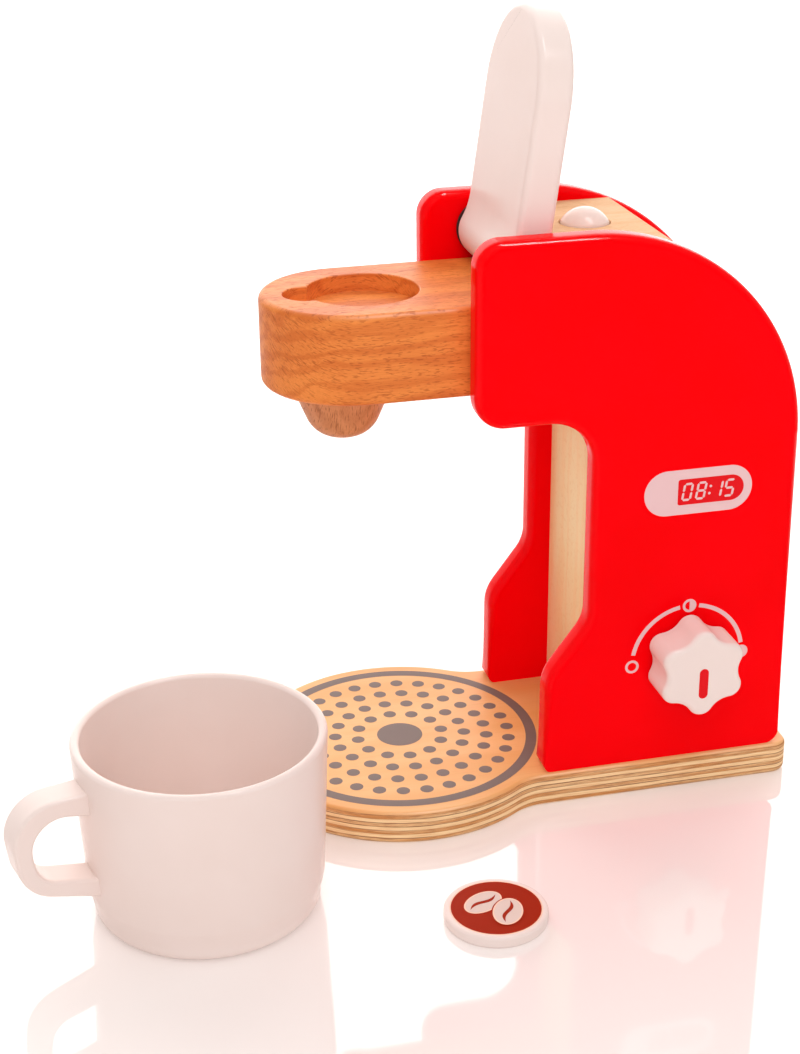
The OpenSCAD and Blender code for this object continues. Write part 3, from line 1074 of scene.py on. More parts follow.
RED = EdgedLacquer("sprayed_red", (1.0, 0.0, 0.003), (0.97, 0.0, 0.002), gloss=0.14, sheen=0.03)
WHITE = Lacquer("sprayed_white", (0.885, 0.75, 0.705), (0.865, 0.72, 0.67), gloss=0.2, sheen=0.05, cloud=45)
BEECH = Wood(
    "oiled_beech", (0.86, 0.27, 0.055), (0.66, 0.155, 0.026), (0.44, 0.085, 0.012), turn=Vector((0, 38, 0)),
    ring=6.5, ring_turn=36, fleck_size=2.6, fleck_share=0.7,
)
TURNED = Wood("turned_beech", (0.72, 0.29, 0.12), (0.58, 0.21, 0.08), (0.34, 0.10, 0.035), turn=Vector((90, 0, 0)))
PALE_BEECH = Wood(
    "planed_beech", (0.80, 0.50, 0.29), (0.72, 0.42, 0.22), (0.58, 0.30, 0.14), turn=Vector((0, 70, 0)),
    fleck_size=2.4, fleck_share=0.4, sheen=0.02,
)
# A pale wood whose colour is also raised to its brightest as painted light, against the shade that the column
# stands in.
COLUMN = Wood(
    "pale_board_painted_light", (1.0, 0.84, 0.50), (1.0, 0.75, 0.40), (0.90, 0.60, 0.28), turn=Vector((90, 0, 0)),
    ring=9, fleck_size=2.0, fleck_share=0.25,
)
PLY = Plywood(
    "plywood", (0.84, 0.46, 0.19), (0.78, 0.38, 0.13), (1.0, 0.72, 0.40), (0.66, 0.29, 0.095),
    (0.26, 0.08, 0.022), thickness=12.0,
)
GREY_INK = Ink("grey_ink", (0.19, 0.14, 0.125), (0.23, 0.165, 0.15))
PINK_INK = Ink("pink_ink", (0.84, 0.56, 0.57), (0.82, 0.52, 0.53))
BEAN_INK = Ink("bean_ink", (0.76, 0.60, 0.54), (0.72, 0.55, 0.49))
RIM_INK = Ink("rim_ink", (0.98, 0.66, 0.50), (0.94, 0.60, 0.45))
RED_INK = Ink("red_ink", (0.80, 0.005, 0.01), (0.70, 0.005, 0.01))
BROWN_INK = Ink("brown_ink", (0.36, 0.020, 0.004), (0.40, 0.028, 0.006), sheen=0.03)
STEEL = Metal("zinc_steel", (0.62, 0.62, 0.64))
# The washers are real parts, but their near-black colour is painted shade for the dark gap between the lever's hub
# and the panels.
WASHER_GAP_SHADE = Lacquer("washer_gap_shade", (0.02, 0.018, 0.018), (0.03, 0.028, 0.028), gloss=0.6, sheen=0.3, cloud=3)


# ----------------------------------------------------------------- pieces


class Body(Enum):
    """The bodies of the frame that pieces ride on."""

    MACHINE = "machine"
    LEVER = "lever"
    BUTTON = "button"
    KNOB = "knob"
    CUP = "cup"
    POD = "pod"


def fit(piece: bpy.types.Object, body: Body, finish: Finish, nodes: Sequence[str] = ()) -> None:
    """Dresses a piece and hands it to the frame.

    Args:
        piece: The finished piece.
        body: The body that it rides on.
        finish: Its finish.
        nodes: The frame's nodes that it stands for.
    """
    finish.dress(piece)
    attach(piece, body.value)
    if nodes:
        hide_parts(*nodes)
    LOG.info("%s: %d faces on %s", piece.name, len(piece.data.polygons), body.value)


@dataclass
class BaseBoard:
    """The plywood base with its round drip plate, in millimetres."""

    edge: float = 1.8
    corner: float = 6.5
    waist: float = 20.0
    overhang: float = 2.0
    ring: tuple[float, float] = (46.1, 50.0)
    spot: float = 8.3
    dot: float = 2.35
    dot_rings: tuple[tuple[float, int], ...] = ((15.6, 12), (23.6, 18), (31.7, 24), (39.8, 30))

    def build(self) -> None:
        """Models the board and prints its ring, its spot and its rings of dots."""
        low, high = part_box("base_board")
        outline = self._outline(-low.y / MM, high.y / MM)
        board = Bench.board("plywood_base", Sheet.top(low.z), outline, high.z - low.z)
        Bench.round_edges(board, self.edge, lies_at(2, low.z, high.z))
        fit(Bench.finish(board), Body.MACHINE, PLY, ["base_board"])
        press = Press(Sheet.top(high.z))
        parts = [press.disc("spot", CENTRE, self.spot, 48), press.ring("ring", CENTRE, self.ring)]
        for radius, count in self.dot_rings:
            dots = press.disc("dots", Vector((radius, 0)), self.dot, 24)
            sweep = math.tau * (count - 1) / count
            with Bench.editing(dots):
                bpy.ops.mesh.spin(steps=count - 1, dupli=True, angle=sweep, center=(0, 0, 0), axis=(0, 0, 1))
            parts.append(dots)
        fit(Bench.join("drip_print", parts), Body.MACHINE, GREY_INK)

    def _outline(self, plate: float, back: float) -> Outline:
        """Draws the board: a straight part behind, a waist on each side and a round plate in front.

        Args:
            plate: The plate's radius in millimetres.
            back: Place of the rear edge in millimetres.

        Returns:
            The start point and the strokes.
        """
        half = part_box("side_panel_right")[1].x / MM + self.overhang
        waist_x = half + self.waist
        waist = Vector((waist_x, math.sqrt((plate + self.waist) ** 2 - waist_x**2)))
        lean = math.atan2(waist.y, waist.x)
        turn_at, turn_y = half - self.corner, back - self.corner
        return Vector((half, waist.y)), [
            Line(Vector((half, turn_y))),
            Arc(Vector((turn_at, turn_y)), math.pi / 2),
            Line(Vector((-turn_at, back))),
            Arc(Vector((-turn_at, turn_y)), math.pi / 2),
            Line(Vector((-half, waist.y))),
            Arc(Vector((-waist.x, waist.y)), -lean),
            Arc(CENTRE, math.pi + 2 * lean),
            Arc(waist, -lean),
        ]


@dataclass
class SidePanels:
    """The two red side panels, in millimetres."""

    edge: float = 3.0
    foot: float = 42.8
    neck: float = 57.8
    throat_height: float = 142.0
    foot_bend: tuple[float, float] = (48.5, 16.0)
    neck_bend: tuple[float, float] = (68.5, 14.0)
    back_radius: float = 75.0
    head_radii: tuple[float, float] = (9.0, 10.5)
    throat_radius: float = 15.0
    corner_radii: tuple[float, float] = (2.5, 5.0)
    play: float = 0.08
    axle_gap: float = 0.25

    def build(self) -> None:
        """Models the right panel, copies it for the left and drills both."""
        low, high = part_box("side_panel_right")
        bottom, top = low.z / MM, high.z / MM
        head, back = low.y / MM, high.y / MM
        corners = [
            Corner(self.foot, bottom, self.corner_radii[0]),
            Corner(back, bottom, self.corner_radii[1]),
            Corner(back, top, self.back_radius),
            Corner(head, top, self.head_radii[0]),
            Corner(head, self.throat_height, self.head_radii[1]),
            Corner(self.neck, self.throat_height, self.throat_radius),
            Corner(self.neck, *self.neck_bend),
            Corner(self.foot, *self.foot_bend),
        ]
        right = Bench.board("red_side_right", Sheet.side(low.x), rounded(corners), high.x - low.x)
        faces, flat = lies_at(0, low.x, high.x), low.z + max(self.corner_radii) * MM + TOUCH
        Bench.round_edges(right, self.edge, lambda a, b: faces(a, b) and max(a.z, b.z) > flat, segments=5)
        left = Bench.copy(right, "red_side_left", Vector((-low.x - high.x, 0, 0)))
        axle, knob = middle("lever_axle"), middle("knob_shaft")
        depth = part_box("lever_axle")[1].x + self.axle_gap * MM - low.x
        for panel, side in ((right, 1), (left, -1)):
            start = Vector((side * (low.x - CLEAR), axle.y, axle.z))
            Bench.drill(panel, start, Vector((side, 0, 0)), depth + CLEAR, self._bore("lever_axle"))
        start = Vector((low.x - CLEAR, knob.y, knob.z))
        Bench.drill(right, start, Vector((1, 0, 0)), high.x - low.x + 2 * CLEAR, self._bore("knob_shaft"))
        for panel, node in ((right, "side_panel_right"), (left, "side_panel_left")):
            fit(Bench.finish(panel), Body.MACHINE, RED, [node])

    def _bore(self, node: str) -> float:
        """Radius of the hole that a dowel turns in, in metres."""
        low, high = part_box(node)
        return (high.z - low.z) / 2 + self.play * MM


@dataclass
class Dial:
    """The dial printed round the knob, in millimetres and degrees."""

    radius: float = 20.3
    line: float = 1.5
    mark: float = 2.5
    mark_line: float = 0.9
    gap: float = 10.0
    drop: float = 1.2
    left_turn: float = 182.5

    def build(self) -> None:
        """Prints two arcs, an empty mark, a half mark and a full mark."""
        shaft = middle("knob_shaft") / MM
        press = Press(Sheet.side(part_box("side_panel_right")[1].x))
        centre = Vector((shaft.y, shaft.z - self.drop))
        band = (self.radius - self.line / 2, self.radius + self.line / 2)
        parts = [press.arc("arc", centre, band, start + self.gap, 90 - 2 * self.gap) for start in (0, 90)]
        turns = (math.radians(self.left_turn), math.pi / 2, 0)
        left, top, right = (centre + pointing(turn) * self.radius for turn in turns)
        inside = self.mark - self.mark_line
        for name, place in (("empty", left), ("half", top)):
            parts.append(press.ring(name, place, (inside, self.mark)))
        first = top - Vector((0, inside - HAIR))
        parts.append(press.patch("half_fill", (first, [Arc(top, math.pi), Line(first)])))
        parts.append(press.disc("full", right, self.mark))
        fit(Bench.join("dial_print", parts), Body.MACHINE, PINK_INK)


class Segment(Enum):
    """The seven strokes of a clock digit, each by its two ends in half widths and half heights."""

    TOP = ((-1, 1), (1, 1))
    MIDDLE = ((-1, 0), (1, 0))
    BOTTOM = ((-1, -1), (1, -1))
    UPPER_LEFT = ((-1, 0), (-1, 1))
    UPPER_RIGHT = ((1, 0), (1, 1))
    LOWER_LEFT = ((-1, -1), (-1, 0))
    LOWER_RIGHT = ((1, -1), (1, 0))


@dataclass
class Clock:
    """The clock printed on the right panel, in millimetres."""

    plate: tuple[Vector, Vector] = (Vector((75.7, 105.8)), Vector((114.4, 122.1)))
    window: tuple[Vector, Vector] = (Vector((87.7, 109.3)), Vector((111.4, 118.6)))
    window_corner: float = 0.8
    middle: float = 113.95
    digit: tuple[float, float] = (2.8, 5.7)
    stroke: float = 0.78
    stroke_gap: float = 0.12
    slant: float = 0.16
    digits: tuple[tuple[float, str], ...] = ((91.1, "0"), (96.0, "8"), (101.9, "1"), (106.2, "5"))
    colon: float = 99.2
    colon_dot: float = 0.468
    colon_share: float = 0.45

    def build(self) -> None:
        """Prints the plate, the window on it and the time on the window."""
        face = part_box("side_panel_right")[1].x
        plate, window, digits = (Press(Sheet.side(face + layer * Press.height * MM)) for layer in range(3))
        half = (self.plate[1].y - self.plate[0].y) / 2 - HAIR
        outline = rectangle(*self.plate, (half, half, half, half))
        fit(plate.patch("clock_plate", outline), Body.MACHINE, PINK_INK)
        half = (self.window[1].y - self.window[0].y) / 2 - HAIR
        outline = rectangle(*self.window, (self.window_corner, half, half, self.window_corner))
        fit(window.patch("clock_window", outline), Body.MACHINE, RED_INK)
        self._time(digits)

    def _time(self, press: Press) -> None:
        """Prints the four digits and the colon.

        Args:
            press: What prints on the window.
        """
        shown = {
            "0": set(Segment) - {Segment.MIDDLE},
            "1": {Segment.UPPER_RIGHT, Segment.LOWER_RIGHT},
            "5": set(Segment) - {Segment.UPPER_RIGHT, Segment.LOWER_LEFT},
            "8": set(Segment),
        }
        parts = [
            press.patch("stroke", self._stroke(place, segment))
            for place, digit in self.digits
            for segment in Segment
            if segment in shown[digit]
        ]
        for share in (-self.colon_share, self.colon_share):
            height = share * self.digit[1] / 2
            dot = Vector((self.colon + height * self.slant, self.middle + height))
            parts.append(press.disc("colon", dot, self.colon_dot, 16))
        fit(Bench.join("clock_digits", parts), Body.MACHINE, PINK_INK)

    def _stroke(self, place: float, segment: Segment) -> Outline:
        """Draws one stroke of a digit, a bar with pointed ends.

        Args:
            place: Place of the digit's middle along the panel, in millimetres.
            segment: Which of its strokes.

        Returns:
            The start point and the strokes.
        """
        a, b = (Vector((end[0] * self.digit[0] / 2, end[1] * self.digit[1] / 2)) for end in segment.value)
        along = (b - a).normalized()
        side = Vector((-along.y, along.x)) * self.stroke / 2
        a, b = a + along * self.stroke_gap, b - along * self.stroke_gap
        tip = along * self.stroke / 2
        points = [a, a + tip - side, b - tip - side, b, b - tip + side, a + tip + side]
        return rounded([Corner(place + p.x + p.y * self.slant, self.middle + p.y) for p in points])


@dataclass
class Arm:
    """The beech arm with its recess and its turned nozzle, in millimetres.

    The recess and the notch are each given by their place along Y and their radius.
    """

    edge: float = 2.2
    recess: tuple[float, float] = (-11.0, 19.0)
    notch: tuple[float, float] = (-29.5, 8.25)
    depth: float = 6.0
    rim: float = 0.5
    rim_reach: float = 0.05
    nozzle_mouth: float = 9.6
    nozzle_round: float = 10.5
    nozzle_height: float = 19.5
    tenon: float = 6.0

    def build(self) -> None:
        """Models the arm block and the nozzle."""
        low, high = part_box("arm_block")
        half, back, front = high.x / MM, high.y / MM, low.y / MM
        corners = [
            Corner(half, back),
            Corner(-half, back),
            Corner(-half, front, half - HAIR),
            Corner(half, front, half - HAIR),
        ]
        arm = Bench.board("beech_arm", Sheet.top(low.z), rounded(corners), high.z - low.z)
        levels = lies_at(2, low.z, high.z)
        Bench.round_edges(arm, self.edge, lambda a, b: levels(a, b) and min(a.y, b.y) < high.y - TOUCH)
        for place, radius in (self.recess, self.notch):
            start = Vector((0, place * MM, high.z + CLEAR))
            Bench.drill(arm, start, Vector((0, 0, -1)), self.depth * MM + CLEAR, radius * MM)
        Bench.round_edges(arm, self.rim, self._round_recess(high.z), segments=3)
        fit(Bench.finish(arm), Body.MACHINE, BEECH, ["arm_block"])
        self._nozzle(low.z)

    def _round_recess(self, top: float) -> EdgeTest:
        """Makes a test for the recess's and the notch's upper rims.

        Args:
            top: Height of the arm's upper face, in metres.

        Returns:
            The test.
        """
        flat = lies_at(2, top)

        def on_rim(point: Vector) -> bool:
            """Says whether a point lies on either circle.

            Args:
                point: The point in metres.

            Returns:
                Whether it does.
            """
            return any(
                abs(math.hypot(point.x, point.y - place * MM) - radius * MM) < self.rim_reach * MM
                for place, radius in (self.recess, self.notch)
            )

        return lambda a, b: flat(a, b) and on_rim(a) and on_rim(b)

    def _nozzle(self, top: float) -> None:
        """Turns the nozzle and its tenon.

        Args:
            top: Height of the arm's lower face, in metres.
        """
        low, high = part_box("nozzle")
        axis = middle("nozzle").xy.to_3d() + Vector((0, 0, top))
        tenon = (high.z - top) / MM
        profile = [
            Corner(0, -self.nozzle_height),
            Corner(self.nozzle_mouth, -self.nozzle_height, self.nozzle_round),
            Corner((high.x - low.x) / 2 / MM, 0),
            Corner(self.tenon, 0),
            Corner(self.tenon, tenon),
            Corner(0, tenon),
        ]
        nozzle = Bench.lathe("turned_nozzle", axis, profile)
        fit(Bench.finish(nozzle), Body.MACHINE, TURNED, ["nozzle"])


@dataclass
class TopBlock:
    """The block between the panels and the button in it, in millimetres."""

    flat_end: float = 84.9
    slope_round: float = 1.2
    front_round: float = 0.8
    hole: float = 8.7
    chamber: float = 10.5
    cover: float = 6.0
    rim: float = 0.4
    rim_reach: float = 0.05
    dome: float = 5.0
    flange: float = 2.4
    button: float = 8.3
    button_lip: float = 1.8

    def build(self) -> None:
        """Models the block and its button."""
        low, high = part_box("top_block")
        corners = [
            Corner(low.y / MM, low.z / MM),
            Corner(high.y / MM, low.z / MM),
            Corner(self.flat_end, high.z / MM, self.slope_round),
            Corner(low.y / MM, high.z / MM, self.front_round),
        ]
        block = Bench.board("block_over_arm", Sheet.side(low.x), rounded(corners), high.x - low.x)
        axis = middle("button")
        start = Vector((axis.x, axis.y, low.z - CLEAR / 2))
        for radius, end in ((self.hole, high.z + CLEAR), (self.chamber, high.z - self.cover * MM)):
            Bench.drill(block, start, Vector((0, 0, 1)), end - start.z, radius * MM)
        flat = lies_at(2, high.z)
        reach = (self.hole + self.rim_reach) * MM

        def on_rim(a: Vector, b: Vector) -> bool:
            """Whether an edge lies on the hole's upper rim."""
            return flat(a, b) and all(math.hypot(p.x - axis.x, p.y - axis.y) < reach for p in (a, b))

        Bench.round_edges(block, self.rim, on_rim, segments=3)
        fit(Bench.finish(block), Body.MACHINE, PALE_BEECH, ["top_block"])
        self._button(Vector((axis.x, axis.y, 0)), high.z / MM)

    def _button(self, axis: Vector, top: float) -> None:
        """Turns the dome button with its hidden flange.

        Args:
            axis: The foot of its axis, in metres.
            top: Height of the block's upper face, in millimetres.
        """
        dome = (self.button**2 + self.dome**2) / (2 * self.dome)
        tangent = dome * math.tan(math.asin(self.button / dome) / 2)
        shoulder = top - self.cover
        profile = [
            Corner(0, shoulder - self.flange),
            Corner(self.button + self.button_lip, shoulder - self.flange),
            Corner(self.button + self.button_lip, shoulder),
            Corner(self.button, shoulder),
            Corner(self.button, top),
            Corner(tangent, top + self.dome, dome),
            Corner(0, top + self.dome),
        ]
        button = Bench.lathe("dome_button", axis, profile)
        fit(Bench.finish(button, TURNED_SHARP), Body.BUTTON, WHITE, ["button"])


@dataclass
class Lever:
    """The white lever, drawn upright about its pivot and then leant back, in millimetres and degrees."""

    thickness: float = 12.0
    front: float = 7.4
    heel: float = 9.8
    blend: float = 24.0
    length: float = 79.5
    half_width: float = 28.75
    edge: float = 2.2
    lean: float = 8.0

    def build(self) -> None:
        """Models the lever where its side view and its front view meet, and leans it back."""
        pivot = middle("lever_axle")
        half = self.half_width
        aside = Vector((half * MM + CLEAR, 0, 0))
        side = Sheet(pivot - aside, Vector((0, 1, 0)), Vector((0, 0, 1)))
        lever = Bench.board("white_lever", side, self._profile(), 2 * aside.x)
        beyond = 2 * self.heel
        face = Sheet(pivot + Vector((0, beyond * MM, 0)), Vector((1, 0, 0)), Vector((0, 0, 1)))
        low, high = Vector((-half, -beyond)), Vector((half, self.length))
        outline = rectangle(low, high, (0, 0, half - HAIR, half - HAIR))
        Bench.cut(lever, Bench.board("blank", face, outline, 2 * beyond * MM), "INTERSECT")
        sides = lies_at(0, -half * MM, half * MM)
        faces = lies_at(1, pivot.y - self.front * MM, pivot.y + (self.thickness - self.front) * MM)
        crown = pivot.z + (self.length - half) * MM - TOUCH

        def on_edge(a: Vector, b: Vector) -> bool:
            """Whether an edge lies along a side or round the crown."""
            return sides(a, b) or (faces(a, b) and min(a.z, b.z) > crown)

        Bench.round_edges(lever, self.edge, on_edge, segments=5)
        Bench.pick(lever)
        lean = math.radians(self.lean)
        bpy.ops.transform.rotate(value=lean, orient_axis="X", center_override=pivot)
        lever = Bench.named("white_lever")
        fit(Bench.finish(lever), Body.LEVER, WHITE, ["lever"])

    def _profile(self) -> Outline:
        """Draws the side view about the pivot, up the back, down the front and round the heel.

        Returns:
            The start point and the strokes.
        """
        back = self.thickness - self.front
        start = Vector((back, math.sqrt(self.heel**2 - back**2)))
        reach = Vector((self.front + self.blend, 0))
        reach.y = math.sqrt((self.heel + self.blend) ** 2 - reach.x**2)
        turn = math.atan2(reach.y, reach.x)
        return start, [
            Line(Vector((back, self.length))),
            Line(Vector((-self.front, self.length))),
            Line(Vector((-self.front, reach.y))),
            Arc(Vector((-reach.x, reach.y)), -turn),
            Arc(CENTRE, math.pi + turn + math.atan2(start.y, start.x)),
        ]


@dataclass
class Knob:
    """The lobed knob and the pointer on it, in millimetres.

    The pointer is given by its width and by its two ends' heights over the knob's middle.
    """

    lobes: int = 6
    lobe: float = 4.6
    scoop: float = 8.0
    edge: float = 2.0
    pointer: tuple[float, float, float] = (3.3, -9.0, 2.4)

    def build(self) -> None:
        """Models the knob's lobed block and prints its pointer."""
        low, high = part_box("knob")
        shaft = middle("knob_shaft") / MM
        centre = Vector((shaft.y, shaft.z))
        outline = self._outline(centre, (high.z - low.z) / 2 / MM)
        knob = Bench.board("lobed_knob", Sheet.side(low.x), outline, high.x - low.x)
        Bench.round_edges(knob, self.edge, lies_at(0, high.x), segments=5)
        Bench.round_edges(knob, self.edge / 3, lies_at(0, low.x), segments=2)
        fit(Bench.finish(knob), Body.KNOB, WHITE, ["knob"])
        width, bottom, top = self.pointer
        radius = width / 2 - HAIR
        low_end, high_end = centre + Vector((-width / 2, bottom)), centre + Vector((width / 2, top))
        outline = rectangle(low_end, high_end, (radius, radius, radius, radius))
        pointer = Press(Sheet.side(high.x)).patch("knob_pointer", outline)
        fit(pointer, Body.KNOB, RED_INK)

    def _outline(self, centre: Vector, radius: float) -> Outline:
        """Draws lobes joined by hollows.

        Args:
            centre: The knob's middle on the sheet, in millimetres.
            radius: Its outer radius in millimetres.

        Returns:
            The start point and the strokes.
        """
        half_step = math.pi / self.lobes
        lobe_at = radius - self.lobe
        across, ahead = lobe_at * math.sin(half_step), lobe_at * math.cos(half_step)
        scoop_at = ahead + math.sqrt((self.lobe + self.scoop) ** 2 - across**2)
        scoop = pointing(half_step) * scoop_at
        to_scoop = math.atan2(scoop.y, scoop.x - lobe_at)
        strokes: list[Stroke] = []
        for i in range(self.lobes):
            turn = math.pi / 2 + 2 * half_step * i
            strokes.append(Arc(centre + pointing(turn) * lobe_at, 2 * to_scoop))
            hollow = centre + pointing(turn + half_step) * scoop_at
            strokes.append(Arc(hollow, -2 * (to_scoop - half_step)))
        first = centre + Vector((0, lobe_at)) + pointing(math.pi / 2 - to_scoop) * self.lobe
        return first, strokes


@dataclass
class Cup:
    """The white cup with its flat handle, in millimetres and degrees.

    Shoulder and waist are radius and height, foot is radius and rounding, and the handle's top and low
    corners are height and rounding.
    """

    wall: float = 3.0
    floor: float = 5.0
    height: float = 62.2
    rim: float = 40.7
    lip: float = 1.4
    shoulder: tuple[float, float] = (38.5, 11.5)
    waist: tuple[float, float] = (37.1, 5.0)
    foot: tuple[float, float] = (36.7, 4.0)
    bend: float = 10.0
    bowl: float = 10.0
    handle_turn: float = -75.0
    handle_reach: float = 25.6
    handle_lean: float = 3.9
    handle_width: float = 11.4
    bar: float = 5.5
    handle_top: tuple[float, float] = (54.0, 14.0)
    handle_low: tuple[float, float] = (23.5, 14.0)
    eye_radii: tuple[float, float] = (10.0, 8.0)
    droop: float = 10.0
    swell: float = 1.7
    root_bar: float = 8.6
    crown_bar: float = 2.8
    root_margin: float = 0.1
    handle_edge: float = 1.3

    def build(self) -> None:
        """Turns the cup and models its handle."""
        axis = middle("cup_body").xy.to_3d() + Vector((0, 0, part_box("cup_body")[0].z))
        profile = [
            Corner(0, 0),
            Corner(self.foot[0], 0, self.foot[1]),
            Corner(*self.waist, self.bend),
            Corner(*self.shoulder, self.bend),
            Corner(self.rim, self.height, self.lip),
            Corner(self.rim - self.wall, self.height, self.lip),
            Corner(self.waist[0] - self.wall, self.floor, self.bowl),
            Corner(0, self.floor),
        ]
        cup = Bench.lathe("cup_bowl", axis, profile, steps=128)
        fit(Bench.finish(cup, BOWL_SHARP), Body.CUP, WHITE, ["cup_body"])
        self._handle(axis)

    def _wall(self, height: float) -> float:
        """Radius of the middle of the cup's wall at a height, in millimetres."""
        radius, start = self.shoulder
        return radius + (self.rim - radius) * (height - start) / (self.height - start) - self.wall / 2

    def _handle(self, axis: Vector) -> None:
        """Models the handle as a bent flat bar that ends in the cup's wall.

        Args:
            axis: The foot of the cup's axis, in metres.
        """
        root = self._wall(self.shoulder[1])
        reach = self.rim + self.handle_reach
        low_reach = reach - self.handle_lean
        top, top_radius = self.handle_top
        low, low_radius = self.handle_low
        slope = self.droop / (low_reach - self.foot[0] + 2 * self.wall)
        low_root = low - slope * (low_reach - root)
        eye_top, eye_low = self.eye_radii
        corners = [
            Corner(root, low_root),
            Corner(low_reach, low, low_radius),
            Corner(reach, top, top_radius),
            Corner(self._wall(top), top),
            Corner(self._wall(top), top - self.root_bar),
            Corner(reach - self.bar, top - self.crown_bar, eye_top),
            Corner(low_reach - self.bar, low + (1 - slope) * self.bar, eye_low),
            Corner(root, low_root + self.bar + self.swell),
        ]
        sheet = Sheet.upright(axis, self.handle_turn)
        drawn = Sheet(axis - sheet.normal * self.handle_width / 2 * MM, sheet.across, sheet.up)
        handle = Bench.board("cup_handle_bar", drawn, rounded(corners), self.handle_width * MM)
        clear = (root + self.root_margin) * MM

        def on_side(a: Vector, b: Vector) -> bool:
            """Whether an edge lies on one flat side and leaves the root alone."""
            level = abs(sheet.normal.dot(a - b)) < TOUCH
            return level and max(sheet.across.dot(p - axis) for p in (a, b)) > clear

        Bench.round_edges(handle, self.handle_edge, on_side)
        fit(Bench.finish(handle), Body.CUP, WHITE, ["cup_handle"])


@dataclass(frozen=True)
class Bean:
    """One coffee bean of the pod's print.

    Args:
        x: Its middle along X, in millimetres from the pod's middle.
        y: Its middle along Y.
        degrees: How far it is turned.
    """

    x: float
    y: float
    degrees: float

    @property
    def middle(self) -> Vector:
        """Its middle on the pod."""
        return Vector((self.x, self.y))


@dataclass
class Pod:
    """The flat pod with its print, in millimetres."""

    edge: float = 1.0
    print_radius: float = 14.6
    rim_line: float = 0.45
    bean: tuple[float, float] = (6.9, 4.4)
    beans: tuple[Bean, ...] = (Bean(-3.8, -3.3, 122.0), Bean(3.2, 3.0, 157.0))
    outline: float = 0.45
    groove_half: float = 0.75
    groove_end: float = 0.9
    groove_bow: float = 0.9
    groove_steps: int = 8
    ink: float = 0.03

    def build(self) -> None:
        """Turns the pod and prints two coffee beans on it, one layer of ink over the other."""
        low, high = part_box("pod")
        axis = middle("pod").xy.to_3d() + Vector((0, 0, low.z))
        radius, height = (high.x - low.x) / 2 / MM, (high.z - low.z) / MM
        profile = [
            Corner(0, 0), Corner(radius, 0, self.edge), Corner(radius, height, self.edge), Corner(0, height)
        ]
        pod = Bench.lathe("coffee_pod", axis, profile)
        fit(Bench.finish(pod, TURNED_SHARP), Body.POD, WHITE, ["pod"])
        rim = self._press(axis, high.z, 0).disc("pod_rim_line", CENTRE, self.print_radius + self.rim_line, 96)
        disc = self._press(axis, high.z, 1).disc("pod_print", CENTRE, self.print_radius, 96)
        fit(rim, Body.POD, RIM_INK)
        fit(disc, Body.POD, BROWN_INK)
        inks = {"gap": BROWN_INK, "line": RIM_INK, "oval": BEAN_INK, "groove": BROWN_INK}
        for i, bean in enumerate(self.beans):
            for k, (part, ink) in enumerate(inks.items()):
                press = self._press(axis, high.z, 2 + i * len(inks) + k)
                name = f"bean_{i + 1}_{part}"
                if part == "groove":
                    piece = press.patch(name, self._groove(bean))
                else:
                    piece = self._oval(press, name, bean, (2 - k) * self.outline)
                fit(piece, Body.POD, ink)

    def _press(self, axis: Vector, face: float, layer: int) -> Press:
        """Makes a press that prints over some layers of ink.

        Args:
            axis: The foot of the pod's axis, in metres.
            face: Height of the pod's upper face, in metres.
            layer: How many layers lie under it.

        Returns:
            The press.
        """
        place = Vector((axis.x, axis.y, face + layer * self.ink * MM))
        return Press(Sheet(place, Vector((1, 0, 0)), Vector((0, 1, 0))), self.ink)

    def _oval(self, press: Press, name: str, bean: Bean, grow: float) -> bpy.types.Object:
        """Prints a bean's oval, a disc stretched and turned.

        Args:
            press: What it is printed with.
            name: The new piece's name.
            bean: The bean.
            grow: How much larger than the bean its half length and half width are, in millimetres.

        Returns:
            The new piece.
        """
        length, width = (size + grow for size in self.bean)
        Bench.pick(press.disc(name, bean.middle, width, 48))
        centre = press.sheet.at(bean.middle)
        bpy.ops.transform.resize(value=(length / width, 1, 1), center_override=centre)
        turn = -math.radians(bean.degrees)
        bpy.ops.transform.rotate(value=turn, orient_axis="Z", center_override=centre)
        return Bench.named(name)

    def _groove(self, bean: Bean) -> Outline:
        """Draws the S-shaped groove along a bean, pointed at both ends.

        Args:
            bean: The bean.

        Returns:
            The start point and the strokes.
        """
        reach = self.bean[0] - self.groove_end
        turn = Matrix.Rotation(math.radians(bean.degrees), 2)

        def edge(share: float, side: int) -> Corner:
            """Finds a point on one edge of the groove.

            Args:
                share: How far along its half length the point is, from -1 to 1.
                side: 1 or -1 for the groove's two edges.

            Returns:
                The point as a sharp corner.
            """
            bow = -self.groove_bow * math.sin(share * math.pi)
            half = self.groove_half * (1 - share * share)
            return Corner(*(turn @ Vector((share * reach, bow + side * half)) + bean.middle))

        shares = [i / self.groove_steps for i in range(-self.groove_steps, self.groove_steps + 1)]
        there = [edge(share, -1) for share in shares]
        return rounded(there + [edge(share, 1) for share in reversed(shares[1:-1])])


# ------------------------------------------------------------------ studio


@dataclass(frozen=True)
class Lamp:
    """A rectangular light that looks at the middle of the toy.

    Args:
        name: Its name.
        place: Where it hangs, in metres.
        size: Its width and height in metres.
        glow: How bright its face is, 1 for a white that just fills the picture's range.
    """

    name: str
    place: Vector
    size: tuple[float, float]
    glow: float

    def hang(self, target: Vector) -> bpy.types.Object:
        """Adds the light.

        Args:
            target: What it looks at, in metres.

        Returns:
            The light.
        """
        bpy.ops.object.select_all(action="DESELECT")
        bpy.ops.object.light_add(type="AREA", location=self.place)
        light = bpy.context.object
        light.name = self.name
        light.data.shape = "RECTANGLE"
        light.data.size, light.data.size_y = self.size
        light.data.energy = self.glow * math.pi * self.size[0] * self.size[1]
        light.rotation_euler = (target - self.place).to_track_quat("-Z", "Y").to_euler()
        return light


